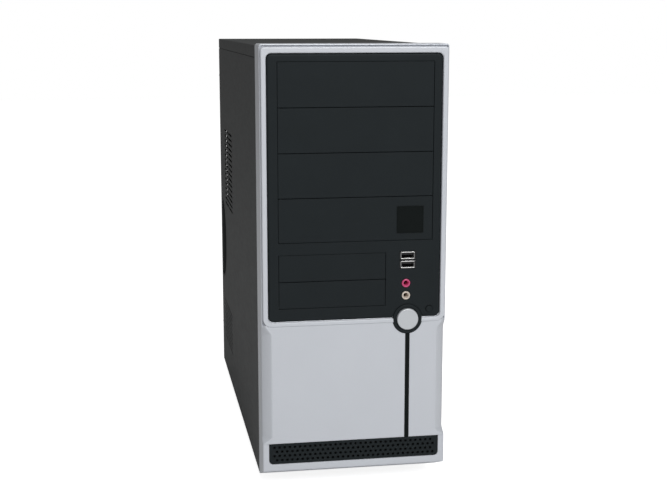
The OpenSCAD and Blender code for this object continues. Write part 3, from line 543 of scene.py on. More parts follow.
class Form:
    """A mesh that is being modelled, in millimetres."""

    def __init__(self) -> None:
        """Start with nothing."""
        self.bm = bmesh.new()

    @classmethod
    def of_node(cls, node: str) -> "Form":
        """A merged copy of a CAD node.

        Args:
            node: The node's name.

        Returns:
            A form with the node's mesh.
        """
        form = cls()
        form.bm.from_mesh(frame["nodes"][node].data)
        bmesh.ops.scale(form.bm, vec=(1 / MM,) * 3, verts=form.bm.verts)
        bmesh.ops.remove_doubles(form.bm, verts=form.bm.verts, dist=0.004)
        return form

    def soften(self, width: float, segments: int = 2, angle: float = 35.0,
               where: Callable[[Vector], bool] = lambda middle: True) -> "Form":
        """Bevel the edges that turn by more than an angle.

        Args:
            width: How far the bevel reaches on each side.
            segments: Faces across the bevel.
            angle: The turn in degrees past which an edge counts.
            where: Tells from an edge's middle whether it is taken.

        Returns:
            This form.
        """
        self.bm.normal_update()
        sharp = [edge for edge in self.bm.edges
                 if len(edge.link_faces) == 2 and edge.calc_face_angle(0.0) > math.radians(angle)
                 and where((edge.verts[0].co + edge.verts[1].co) / 2)]
        bmesh.ops.bevel(self.bm, geom=sharp, offset=width, offset_type="OFFSET", segments=segments,
                        profile=0.5, affect="EDGES", clamp_overlap=False, material=-1)
        return self

    def block(self, x: Sequence[float], depth: Sequence[float], z: Sequence[float],
              edge: float = 0.0, segments: int = 2) -> "Form":
        """Add a block between two corners, with its edges rounded.

        Args:
            x: Its left and right side.
            depth: Its near and far side.
            z: Its bottom and top.
            edge: How far the rounding reaches, or 0 for none.
            segments: Faces across the rounding.

        Returns:
            This form.
        """
        low, high = at(x[0], depth[0], z[0]), at(x[1], depth[1], z[1])
        place = Matrix.Translation((low + high) / 2) @ Matrix.Diagonal((*(high - low), 1.0))
        made = bmesh.ops.create_cube(self.bm, size=1.0, matrix=place)["verts"]
        if edge:
            edges = list({e for v in made for e in v.link_edges})
            bmesh.ops.bevel(self.bm, geom=edges, offset=edge, offset_type="OFFSET", segments=segments,
                            profile=0.5, affect="EDGES", clamp_overlap=True, material=-1)
        return self

    def rod(self, start: Vector, end: Vector, radius: float, sides: int = 24,
            tip: float | None = None) -> "Form":
        """Add a round bar or cone from one point to another.

        Args:
            start: The middle of its first end.
            end: The middle of its other end.
            radius: Its radius at the start.
            sides: Faces round it.
            tip: Its radius at the end, where that differs.

        Returns:
            This form.
        """
        axis = end - start
        place = Matrix.Translation((start + end) / 2) @ axis.to_track_quat("Z", "Y").to_matrix().to_4x4()
        bmesh.ops.create_cone(self.bm, cap_ends=True, cap_tris=False, segments=sides, radius1=radius,
                              radius2=radius if tip is None else tip, depth=axis.length, matrix=place)
        return self

    def turned(self, outline: Outline, foot: Vector, axis: Vector, steps: int = 48) -> "Form":
        """Add a turned shape: an outline of radius and height, spun about an axis through foot.

        Args:
            outline: Points of radius and height, from end to end.
            foot: The point on the axis at height 0.
            axis: The direction of height.
            steps: Faces round it.

        Returns:
            This form.
        """
        axis = axis.normalized()
        out = axis.orthogonal().normalized()
        verts = [self.bm.verts.new(foot + out * radius + axis * height) for radius, height in outline]
        edges = [self.bm.edges.new(pair) for pair in zip(verts, verts[1:])]
        bmesh.ops.spin(self.bm, geom=verts + edges, cent=foot, axis=axis, angle=2 * math.pi,
                       steps=steps, use_merge=True)
        self.heal()
        return self

    def heal(self) -> None:
        """Merge doubles and point every face outwards."""
        bmesh.ops.remove_doubles(self.bm, verts=self.bm.verts, dist=0.0005)
        bmesh.ops.recalc_face_normals(self.bm, faces=self.bm.faces)

    def loft(self, rows: Sequence[Sequence[Vector]], closed: bool) -> "Form":
        """Add a closed skin through rows of points by extruding a chain of edges from row to row.

        Args:
            rows: Rows of the same number of points.
            closed: Whether each row is a ring.

        Returns:
            This form.
        """
        chain = [self.bm.verts.new(point) for point in rows[0]]
        pairs = list(zip(chain, chain[1:] + chain[:1] if closed else chain[1:]))
        edges = [self.bm.edges.new(pair) for pair in pairs]
        for row in rows[1:]:
            made = bmesh.ops.extrude_edge_only(self.bm, edges=edges)["geom"]
            fresh = {v for v in made if isinstance(v, bmesh.types.BMVert)}
            places = {tuple(round(c, 4) for c in v.co): v for v in fresh}
            moved = [places[tuple(round(c, 4) for c in old.co)] for old in chain]
            edges = [e for e in made if isinstance(e, bmesh.types.BMEdge) and set(e.verts) <= fresh]
            for vert, point in zip(moved, row):
                vert.co = point
            chain = moved
        bmesh.ops.remove_doubles(self.bm, verts=self.bm.verts, dist=0.0005)
        rims = [edge for edge in self.bm.edges if len(edge.link_faces) == 1]
        bmesh.ops.holes_fill(self.bm, edges=rims)
        bmesh.ops.recalc_face_normals(self.bm, faces=self.bm.faces)
        return self

    def prism(self, outline: Outline, depth: Sequence[float], edge: float = 0.0) -> "Form":
        """Add a flat outline in X and Z, extruded between two depths.

        Args:
            outline: Its corners, in X and Z.
            depth: Its near and far side.
            edge: How far the rounding of its edges reaches, or 0 for none.

        Returns:
            This form.
        """
        face = self.bm.faces.new([self.bm.verts.new(at(x, depth[0], z)) for x, z in outline])
        made = bmesh.ops.extrude_face_region(self.bm, geom=[face])["geom"]
        verts = [v for v in made if isinstance(v, bmesh.types.BMVert)]
        bmesh.ops.translate(self.bm, vec=(0, depth[1] - depth[0], 0), verts=verts)
        bmesh.ops.recalc_face_normals(self.bm, faces=self.bm.faces)
        if edge:
            lips = list({e for v in verts for e in v.link_edges} | set(face.edges))
            bmesh.ops.bevel(self.bm, geom=lips, offset=edge, offset_type="OFFSET", segments=2,
                            profile=0.5, affect="EDGES", clamp_overlap=True, material=-1)
        return self

    def moved(self, turn: Matrix) -> "Form":
        """Turn or shift everything so far."""
        bmesh.ops.transform(self.bm, matrix=turn, verts=self.bm.verts)
        return self

    def take(self, other: "Form") -> "Form":
        """Add another form's mesh to this one.

        Args:
            other: The form that is used up.

        Returns:
            This form.
        """
        mesh = bpy.data.meshes.new("part")
        other.bm.to_mesh(mesh)
        other.bm.free()
        self.bm.from_mesh(mesh)
        bpy.data.meshes.remove(mesh)
        return self

    def _object(self, name: str) -> bpy.types.Object:
        """An object with this mesh, in metres, its faces smooth up to sharp edges.

        Args:
            name: The object's name.

        Returns:
            The new object.
        """
        mesh = bpy.data.meshes.new(name)
        bmesh.ops.scale(self.bm, vec=(MM,) * 3, verts=self.bm.verts)
        for face in self.bm.faces:
            face.smooth = True
        self.bm.to_mesh(mesh)
        self.bm.free()
        made = bpy.data.objects.new(name, mesh)
        bpy.context.scene.collection.objects.link(made)
        return made

    def carve(self, tool: "Form") -> "Form":
        """Cut another form out of this one.

        Args:
            tool: The form that is cut out and used up.

        Returns:
            This form.
        """
        block, cutter = self._object("block"), tool._object("cutter")
        cut = block.modifiers.new("cut", "BOOLEAN")
        cut.operation = "DIFFERENCE"
        cut.solver = "EXACT"
        cut.object = cutter
        bpy.context.view_layer.update()
        graph = bpy.context.evaluated_depsgraph_get()
        mesh = bpy.data.meshes.new_from_object(block.evaluated_get(graph))
        self.bm = bmesh.new()
        self.bm.from_mesh(mesh)
        bmesh.ops.scale(self.bm, vec=(1 / MM,) * 3, verts=self.bm.verts)
        for part in (block, cutter):
            bpy.data.objects.remove(part)
        bmesh.ops.remove_doubles(self.bm, verts=self.bm.verts, dist=0.002)
        bmesh.ops.triangulate(self.bm, faces=[face for face in self.bm.faces if len(face.verts) > 4])
        return self

    def piece(self, name: str, finish: Finish | Tinted, body: str = TOWER,
              replaces: Sequence[str] = ()) -> bpy.types.Object:
        """Make the finished piece.

        Args:
            name: The piece's name.
            finish: Its finish.
            body: The CAD body that it rides on.
            replaces: CAD nodes that it stands for.

        Returns:
            The piece's object.
        """
        made = self._object(name)
        made.data.set_sharp_from_angle(angle=math.radians(SHARP_TURN))
        made.modifiers.new("even", "WEIGHTED_NORMAL").keep_sharp = True
        made.data.materials.append(finish.material())
        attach(made, body)
        finish.slot
        if replaces:
            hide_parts(*replaces)
        log.info("%s: %d faces", name, len(made.data.polygons))
        return made


def arc(centre: tuple[float, float], radius: float, start: float, turn: float, steps: int) -> Outline:
    """Points along an arc, with angles in degrees."""
    angles = [math.radians(start + turn * i / steps) for i in range(steps + 1)]
    return [(centre[0] + radius * math.cos(a), centre[1] + radius * math.sin(a)) for a in angles]


# ---- Front ----


@dataclass
class FrontHousing:
    """The silver plastic front: side shell, raised rim round the fascia, and lower panel."""

    shell: Room = field(default_factory=lambda: Room("front_bezel"))
    strip: Room = field(default_factory=lambda: Room("light_strip"))
    grille: Room = field(default_factory=lambda: Room("lower_grille"))
    button: Vector = field(default_factory=lambda: Room("power_button").mid)
    gap: float = 0.1
    lip_z: float = 23.0
    wall: float = 2.5
    undercut: float = 32.0
    join_z: float = 168.4
    step: float = 2.7
    rim_out: float = 88.8
    rim_in: float = 83.7
    rim_z: tuple[float, float] = (167.0, 430.3)
    rim_gap_z: tuple[float, float] = (171.3, 424.6)
    rim_rise: float = 0.9
    pillow_r: float = 10.0
    flatness: float = 0.75
    tuck: float = 1.3
    ring_r: float = 14.6
    ring_lap: float = 1.2
    corner_r: float = 2.6
    foot_r: float = 8.5
    window_r: float = 4.0
    lip_edge: float = 0.45
    pillow_z: tuple[float, float] = (50.7, 158.0)
    strip_laps: tuple[float, float] = (2.0, 8.0)
    ring_depth: tuple[float, float] = (-4.0, 11.0)
    plate_room: tuple[tuple[float, float], ...] = ((-82.0, 82.0), (0.5, 14.0), (172.6, 184.0))

    def _arch(self, inset: float, radius: float) -> Outline:
        """Open path up the left side, over the top and down the right side.

        Args:
            inset: How far it lies inside the outermost line.
            radius: The outermost line's corner radius.

        Returns:
            Points of X and Z.
        """
        w, top, r = self.shell.high.x - inset, self.shell.high.z - inset, max(radius - inset, 0.1)
        left = arc((-w + r, top - r), r, 180, -90, 6)
        return [(-w, self.join_z), *left, *[(-x, z) for x, z in reversed(left)], (w, self.join_z)]

    def side_shell(self) -> Form:
        """The outer shell beside and over the fascia, with its step and shadow groove.

        Returns:
            The shell.
        """
        s, back = self.step, self.shell.high.y
        section = [(0, back), (0, s + 1.0), (0.15, s + 0.4), (0.5, s + 0.05), (1.0, s), (1.25, s + 0.4),
                   (1.3, s + 2.2), (7.5, s + 2.2), (7.5, s + 4), (self.wall, s + 4), (self.wall, back),
                   (0, back)]
        rows = [[at(x, depth, z) for x, z in self._arch(inset, self.corner_r)] for inset, depth in section]
        return Form().loft(rows, closed=False)

    def _rim_path(self, share: float) -> Outline:
        """Path round the fascia from one side of the button ring to the other.

        Args:
            share: 0 at the rim's outer edge and 1 at its inner edge.

        Returns:
            Points of X and Z.
        """
        w = self.rim_out + share * (self.rim_in - self.rim_out)
        low = self.rim_z[0] + share * (self.rim_gap_z[0] - self.rim_z[0])
        high = self.rim_z[1] + share * (self.rim_gap_z[1] - self.rim_z[1])
        foot_r, top_r = self.foot_r - 3.5 * share, self.corner_r + 2.4 * share
        ends = [self.button.x + s * (self.ring_r - self.ring_lap) for s in (1, -1)]
        return [(ends[0], low), *arc((w - foot_r, low + foot_r), foot_r, -90, 90, 8),
                *arc((w - top_r, high - top_r), top_r, 0, 90, 6),
                *arc((-w + top_r, high - top_r), top_r, 90, 90, 6),
                *arc((-w + foot_r, low + foot_r), foot_r, 180, 90, 8), (ends[1], low)]

    def rim(self) -> Form:
        """The raised bead round the fascia.

        Returns:
            The bead.
        """
        rise = self.rim_rise
        section = [(0.0, 5.0), (0.0, 0.6)]
        section += [(0.2 - 0.2 * math.cos(a), 0.6 - (rise + 0.6) * math.sin(a))
                    for a in (0.4, 0.8, 1.2, math.pi / 2)]
        section += [(0.8 + 0.2 * math.sin(a), 0.6 - (rise + 0.6) * math.cos(a))
                    for a in (0.0, 0.4, 0.8, 1.2)]
        section += [(1.0, 0.6), (1.0, 5.0), (0.0, 5.0)]
        rows = [[at(x, depth, z) for x, z in self._rim_path(share)] for share, depth in section]
        return Form().loft(rows, closed=False)

    def _slice(self, z: float, radius: float, front: float, inset: float = 0.0) -> list[Vector]:
        """Ring of points round the lower panel's wall at one height.

        Args:
            z: The height.
            radius: How far the corner's chamfer reaches.
            front: How far back the front face lies.
            inset: How far the sides are tucked in.

        Returns:
            The ring's points.
        """
        w, t, back = self.shell.high.x - inset, self.wall, self.shell.high.y
        inner_r = max(radius - t, 0.3)
        outer = [(x + self.flatness * (i / 8 - 1 - (x + w - radius) / radius) * radius,
                  d + self.flatness * (1 - i / 8 - (d - front) / radius) * radius)
                 for i, (x, d) in enumerate(arc((-w + radius, front + radius), radius, 180, 90, 8))]
        inner = arc((-w + t + inner_r, front + t + inner_r), inner_r, 180, 90, 8)
        outside = [(-w, back), *outer]
        inside = [(-w + t, back), *inner]
        ring = outside + [(-x, d) for x, d in reversed(outside)]
        ring += [(-x, d) for x, d in inside] + inside[::-1]
        return [at(x, d, z) for x, d in ring]

    def lower_panel(self) -> Form:
        """The pillowed lower panel with its undercut lip, cut for the ring, strip and grille.

        Returns:
            The panel.
        """
        slope = self.undercut / (self.lip_z - self.shell.low.z)
        stations = [(self.shell.low.z, 1.0, self.undercut)]
        stations += [(self.lip_z + up, 1.0, front)
                     for up, front in ((-0.6, 0.6 * slope), (-0.2, 0.55), (0.6, 0.12), (1.6, 0.0))]
        low, high = self.pillow_z
        stations += [(low + 7.5 * t, 1.2 + (self.pillow_r - 1.2) * ease(t), 0.0)
                     for t in (0.0, 0.2, 0.4, 0.6, 0.8, 1.0)]
        stations += [(high + 10.4 * t, self.pillow_r - 6.0 * ease(t), 0.0)
                     for t in (0.0, 0.25, 0.5, 0.75, 1.0)]
        stations += [(self.join_z + up, radius, front, self.tuck)
                     for up, radius, front in ((0.8, 3.8, 0.3), (2.6, 3.4, 1.1), (5.1, 2.6, 2.2),
                                               (8.1, 1.8, 3.4), (10.1, 1.4, 5.0))]
        panel = Form().loft([self._slice(*station) for station in stations], closed=True)
        for tool in self._openings():
            panel.carve(tool)
        return panel.soften(self.lip_edge, 2, CORNER_TURN, self._is_lip)

    def _openings(self) -> list[Form]:
        """What is cut out of the lower panel: ring, strip, grille, and room behind the fascia.

        Returns:
            One form for each opening.
        """
        middle, through = self.button, (-2, 6)
        near, far = (at(middle.x, depth, middle.z) for depth in self.ring_depth)
        ring = Form().rod(near, far, self.ring_r, 64)
        w, low, high = (self.grille.high.x + 2 * self.gap, self.grille.low.z - 2 * self.gap,
                        self.grille.high.z + 2 * self.gap)
        strip = Form().block((self.strip.low.x - self.gap, self.strip.high.x + self.gap), through,
                             (high - self.strip_laps[0], middle.z - self.strip_laps[1]))
        r = self.window_r
        corners = [*arc((w - r, low + r), r, -90, 90, 6), (w, high), (-w, high),
                   *arc((-w + r, low + r), r, 180, 90, 6)]
        return [ring, strip, Form().prism(corners, through), Form().block(*self.plate_room)]

    def _is_lip(self, point: Vector) -> bool:
        """Whether an edge lies on the front face round an opening.

        Args:
            point: The edge's middle.

        Returns:
            True on such an edge.
        """
        on_front = abs(point.y - FRONT) < 0.05
        inside = abs(point.x) < self.grille.high.x + 0.7 and point.z > self.grille.low.z - 0.7
        return on_front and inside and point.z < self.join_z - 0.5

    def build(self) -> None:
        """Make the three mouldings."""
        self.side_shell().piece("front_side_shell", Finish.SILVER, replaces=["front_bezel"])
        self.rim().piece("front_rim", Finish.SILVER)
        self.lower_panel().piece("front_lower_panel", Finish.SILVER)


@dataclass
class Fascia:
    """The dark fascia, its blanking covers, the badge and the lower grille."""

    chamfer: float = 2.0
    edge: float = 0.35
    corner: float = 5.2
    ring_reach: float = 16.0
    rib: float = 1.6
    rib_depth: tuple[float, float] = (3.3, 4.6)
    rib_edge: float = 0.2
    filter_room: tuple[tuple[float, float], ...] = ((-84.0, 84.0), (4.2, 5.4), (29.0, 54.0))
    covers: tuple[str, ...] = ("bay_cover_1", "bay_cover_2", "bay_cover_3", "bay_cover_4",
                               "small_bay_cover_1", "small_bay_cover_2")

    def _is_outer(self, point: Vector) -> bool:
        """Whether an edge of the front face runs round the fascia and not round the button ring.

        Args:
            point: The edge's middle.

        Returns:
            True on such an edge.
        """
        plate, button = Room("fascia"), Room("power_button").mid
        beside = abs(point.x) > plate.high.x - self.corner or point.z > plate.high.z - self.corner
        below = point.z < plate.low.z + 0.1 and abs(point.x - button.x) > self.ring_reach
        return point.y < FRONT + 0.1 and (beside or below)

    def build(self) -> None:
        """Make the dark parts of the front."""
        plate = Form.of_node("fascia")
        plate.soften(self.chamfer, 3, CORNER_TURN, self._is_outer)
        plate.soften(self.edge, 2, CORNER_TURN, lambda p: p.y < FRONT + 0.1)
        plate.piece("front_fascia", Finish.DARK, replaces=["fascia"])
        for node in self.covers:
            cover = Form.of_node(node).soften(self.edge, 2, CORNER_TURN)
            cover.piece(f"{node}_moulding", Finish.DARK, replaces=[node])
        self.badge().piece("badge_plate", Finish.BADGE, replaces=["badge"])
        self.grille().piece("grille_moulding", Finish.DARK, replaces=["lower_grille"])
        strip = Form.of_node("light_strip").soften(0.4, 2, CORNER_TURN)
        strip.piece("strip_moulding", Finish.BADGE, replaces=["light_strip"])
        # Dark backing behind the cover gaps: black strips that stand in for the shade in the gaps.
        self.gap_shade_backing().piece("fascia_gap_shade_backing", Finish.BLACK)
        foam = Tinted(Finish.BLACK, "filter_foam", Moulding((0.01, 0.01, 0.01), 0.9, 1.4, 0.5))
        Form().block(*self.filter_room, edge=0.3).piece("grille_filter", foam)

    def grille(self) -> Form:
        """The grille, turned left to right so that its top row of holes starts nearer the left side.

        Returns:
            The grille.
        """
        form = Form.of_node("lower_grille").moved(Matrix.Diagonal((-1.0, 1.0, 1.0, 1.0)))
        form.heal()
        return form.soften(0.18, 2, CORNER_TURN)

    def gap_shade_backing(self) -> Form:
        """Black ribs behind the gaps round the covers: a dark backing put there as painted shade, so the
        gaps read dark and show no glints from the lit inside.

        Returns:
            The ribs.
        """
        form, rib = Form(), self.rib
        for node in self.covers:
            low, high = Room(node).low, Room(node).high
            for z in (low.z, high.z):
                form.block((low.x - 2, high.x + 2), self.rib_depth, (z - rib, z + rib), self.rib_edge)
            for x in (low.x, high.x):
                form.block((x - rib, x + rib), self.rib_depth, (low.z, high.z), self.rib_edge)
        return form

    def badge(self) -> Form:
        """A blank square plate with a sunk field.

        Returns:
            The plate.
        """
        low, high = Room("badge").low, Room("badge").high
        form = Form().block((low.x, high.x), (low.y, high.y), (low.z, high.z), 0.2)
        form.bm.faces.ensure_lookup_table()
        face = max((f for f in form.bm.faces if f.normal.y < -0.9), key=lambda f: f.calc_area())
        bmesh.ops.inset_individual(form.bm, faces=[face], thickness=1.1, depth=0.0)
        bmesh.ops.inset_individual(form.bm, faces=[face], thickness=0.15, depth=-0.12)
        return form


@dataclass
class Controls:
    """The buttons and sockets of the front."""

    button: Vector = field(default_factory=lambda: Room("power_button").mid)
    usb: Vector = field(default_factory=lambda: Room("usb_shells").mid)
    button_r: float = 10.4
    proud: float = 3.0
    ring_r: float = 14.55
    usb_reach: float = 4.45

    def power_button(self) -> Form:
        """A domed disc with a soft edge, a retaining flange and a stem.

        Returns:
            The button.
        """
        r, front = self.button_r, -self.proud
        dome = [(0.0, front + 0.35), (r * 0.35, front + 0.3), (r * 0.7, front + 0.12), (r - 1.3, front)]
        rim = [(r - 0.6, front + 0.12), (r - 0.2, front + 0.45), (r, front + 1.0)]
        stem = [(r, 3.3), (12.2, 3.3), (12.2, 4.8), (3.0, 4.8), (3.0, 12.4), (2.4, 12.7), (0.0, 12.7)]
        return Form().turned(dome + rim + stem, at(self.button.x, 0, self.button.z), BACK, 96)

    def button_ring(self) -> Form:
        """The dark ring round the power button.

        Returns:
            The ring.
        """
        r, hole = self.ring_r, self.button_r + 0.3
        section = [(12.6, 9), (r, 9), (r, 0.2), (r - 0.15, -0.5), (r - 0.6, -0.95), (r - 1.2, -1.05),
                   (hole + 0.9, -0.95), (hole + 0.3, -0.6), (hole, 0.1), (hole, 3.1), (12.6, 3.1), (12.6, 9)]
        return Form().turned(section, at(self.button.x, 0, self.button.z), BACK, 96)

    def usb_shell(self) -> Form:
        """Two folded metal sockets, with lips above and below each mouth.

        Returns:
            Both shells.
        """
        form, x = Form(), self.usb.x
        for z in (self.usb.z + self.usb_reach, self.usb.z - self.usb_reach):
            for s in (-1, 1):
                form.block((x + s * 6.5 - 0.2, x + s * 6.5 + 0.2), (0.5, 19.5), (z - 2.9, z + 2.9), 0.1)
                low = min(z + s * 2.6, z + s * 2.95)
                form.block((x - 6.7, x + 6.7), (0.2, 19.5), (low, low + 0.35), 0.1)
                lip = min(z + s * 2.6, z + s * 3.5)
                form.block((x - 6.5, x + 6.5), (-0.25, 0.5), (lip, lip + 0.9), 0.25)
            form.block((x - 6.7, x + 6.7), (19.3, 19.9), (z - 3, z + 3), 0.1)
        return form

    def usb_inside(self) -> Form:
        """The sockets' dark tongues and linings.

        Returns:
            The tongues and linings.
        """
        form, x = Form(), self.usb.x
        for z in (self.usb.z + self.usb_reach, self.usb.z - self.usb_reach):
            form.block((x - 5.5, x + 5.5), (2.2, 15), (z + 0.2, z + 2.0), 0.15)
            form.block((x - 6.2, x + 6.2), (14.8, 19.2), (z - 2.5, z + 2.5), 0.1)
            for s in (-1, 1):
                form.block((x + s * 7.25 - 0.6, x + s * 7.25 + 0.6), (0.15, 3), (z - 3.9, z + 3.9), 0.2)
        return form

    def jack(self, node: str) -> Form:
        """A collared audio socket whose bore runs back from a rounded ring.

        Args:
            node: The CAD node that it stands for.

        Returns:
            The socket.
        """
        ring = [(1.85, 16.5), (1.85, 2.2), (2.3, 0.9), (2.5, 0.1), (2.75, -0.45), (3.2, -0.62), (3.7, -0.5),
                (4.05, -0.1), (4.15, 0.5), (4.15, 5.0), (4.4, 5.2), (4.4, 19.8), (0.0, 19.8), (0.0, 16.5),
                (1.85, 16.5)]
        middle = Room(node).mid
        return Form().turned(ring, at(middle.x, 0, middle.z), BACK, 48)

    def build(self) -> None:
        """Make the controls and sockets."""
        self.power_button().piece("power_button_cap", Finish.BUTTON, "power_button", ["power_button"])
        self.button_ring().piece("button_ring_moulding", Finish.DARK, replaces=["button_ring"])
        cap = Form.of_node("reset_button").soften(0.4, 3, CORNER_TURN)
        cap.piece("reset_button_cap", Finish.DARK, "reset_button", ["reset_button"])
        self.usb_shell().piece("usb_socket_shells", Finish.PLATED, replaces=["usb_shells"])
        self.usb_inside().piece("usb_socket_linings", Finish.BLACK, replaces=["usb_tongues"])
        self.jack("mic_jack").piece("mic_socket_collar", Finish.PINK, replaces=["mic_jack"])
        self.jack("earphone_jack").piece("earphone_socket_collar", Finish.PALE, replaces=["earphone_jack"])


# ---- Fans ----


@dataclass(frozen=True)
class Rotor:
    """A fan's turning part, modelled along its own axis and then put in its frame."""

    body: str
    node: str
    size: float
    thick: float
    place: Matrix
    blades: int = 7
    rows: int = 7
    stations: int = 8
    hub_share: float = 0.2
    tip_gap: float = 3.6

    @classmethod
    def at_rear(cls, body: str, node: str) -> "Rotor":
        """A fan on a rear face, with its far side to the front.

        Args:
            body: The CAD body that turns.
            node: The stem of the fan's CAD nodes.

        Returns:
            The rotor.
        """
        case = Room(f"{node}_frame")
        place = Matrix(((1, 0, 0, case.mid.x), (0, 0, -1, FRONT + case.high.y), (0, 1, 0, case.mid.z),
                        (0, 0, 0, 1)))
        return cls(body, node, case.high.x - case.low.x, case.high.y - case.low.y, place)

    @classmethod
    def on_board(cls, body: str, node: str) -> "Rotor":
        """A fan that faces the left panel, with its far side to the board.

        Args:
            body: The CAD body that turns.
            node: The stem of the fan's CAD nodes.

        Returns:
            The rotor.
        """
        case = Room(f"{node}_frame")
        place = Matrix(((0, 0, 1, case.low.x), (0, 1, 0, FRONT + case.mid.y), (1, 0, 0, case.mid.z),
                        (0, 0, 0, 1)))
        return cls(body, node, case.high.y - case.low.y, case.high.x - case.low.x, place)

    def hub(self) -> Form:
        """A cup with a rounded face, on its shaft.

        Returns:
            The cup.
        """
        r, t = self.hub_share * self.size, self.thick
        cup = [(0.0, t - 1), (r - 1.4, t - 1), (r - 0.4, t - 1.35), (r, t - 2.4), (r, 3.0), (r - 1.6, 3.0),
               (r - 1.6, t - 3), (1.5, t - 3), (1.5, 1.5), (0.0, 1.5)]
        return Form().turned(cup, Vector(), Vector((0, 0, 1)), 64)

    def _section(self, share: float, turn: float) -> list[Vector]:
        """Ring of points round a cambered blade, at a share of its length from the hub.

        Args:
            share: 0 at the hub and 1 at the tip.
            turn: The blade's angle round the hub.

        Returns:
            The ring's points, from the leading edge over the back to the face.
        """
        hub, tip = self.hub_share * self.size - 0.6, self.size / 2 - self.tip_gap
        radius = hub + (tip - hub) * share
        chord = self.size * (0.19 + 0.13 * share)
        rise = min(chord * 0.66, self.thick - 5.6)
        run = math.sqrt(chord ** 2 - rise ** 2)
        ring = []
        for side in (1, -1):
            for i in range(self.stations):
                u = side * (i / (self.stations - 1) - 0.5)
                bow = 0.035 * self.size * (1 - 4 * u * u) + side * (0.15 + 0.55 * math.sqrt(1 - 4 * u * u))
                along = run * u - rise / chord * bow
                height = (self.thick + 1.8) / 2 + rise * u + run / chord * bow * 0.5
                angle = turn + 0.32 * share * share + along / radius
                ring.append(Vector((radius * math.cos(angle), radius * math.sin(angle), height)))
        return ring

    def build(self) -> None:
        """Make the rotor."""
        form = self.hub()
        for i in range(self.blades):
            turn = 2 * math.pi * i / self.blades
            form.loft([self._section(k / (self.rows - 1), turn) for k in range(self.rows)], closed=True)
        form.moved(self.place).heal()
        form.piece(f"{self.body}_blades", Finish.BLACK, self.body, [f"{self.node}_rotor"])

    def foil(self, form: Form) -> None:
        """Add the blank foil disc on the fan frame's hub to a form."""
        start, end = (self.place @ Vector((0, 0, z)) for z in (0.4, 0.15))
        form.rod(start, end, 0.165 * self.size, 48)


@dataclass
class Fans:
    """The rear, supply and processor fans."""

    rotors: tuple[Rotor, ...] = field(default_factory=lambda: (
        Rotor.at_rear("rear_fan", "rear_fan"), Rotor.at_rear("supply_fan", "psu_fan"),
        Rotor.on_board("processor_fan", "cpu_fan")))

    def build(self) -> None:
        """Make the rotors and their foils."""
        foils = Form()
        for rotor in self.rotors:
            rotor.build()
            rotor.foil(foils)
        foils.piece("fan_hub_foils", Finish.PLATED)


# ---- Cables held inside the case ----


@dataclass(frozen=True)
class Route:
    """A smooth curve through points of X, depth and Z, with two directions carried along it."""

    points: tuple[tuple[float, float, float], ...]
    steps: int = 6

    def stations(self) -> list[tuple[Vector, Vector, Vector, float]]:
        """Place, two sideways directions, and share of the way, at each step.

        Returns:
            One tuple for each step.
        """
        stops = [at(*p) for p in self.points]
        curve = []
        for i in range(len(stops) - 1):
            a, b = stops[max(i - 1, 0)], stops[i]
            c, d = stops[i + 1], stops[min(i + 2, len(stops) - 1)]
            for k in range(self.steps + (i == len(stops) - 2)):
                t = k / self.steps
                curve.append(0.5 * (2 * b + (c - a) * t + (2 * a - 5 * b + 4 * c - d) * t * t
                                    + (3 * b - a - 3 * c + d) * t ** 3))
        found = []
        u = Vector((0, 0, 1))
        for i, place in enumerate(curve):
            ahead = (curve[min(i + 1, len(curve) - 1)] - curve[max(i - 1, 0)]).normalized()
            u = u - ahead * u.dot(ahead)
            u = (u if u.length > 0.05 else ahead.orthogonal()).normalized()
            found.append((place, u, ahead.cross(u), i / (len(curve) - 1)))
        return found

    def wire(self, form: Form, half: tuple[float, float], sides: int = 8,
             offset: Callable[[Vector, Vector, float], Vector] = lambda u, v, share: Vector()) -> Form:
        """Add a wire to a form.

        Args:
            form: The form that takes it.
            half: Half of its size in each sideways direction.
            sides: Faces round it.
            offset: How far it lies off the route at a share of the way.

        Returns:
            The form.
        """
        rows = []
        for place, u, v, share in self.stations():
            centre = place + offset(u, v, share)
            turns = [2 * math.pi * k / sides for k in range(sides)]
            rows.append([centre + half[0] * math.cos(a) * u + half[1] * math.sin(a) * v for a in turns])
        return form.loft(rows, closed=True)


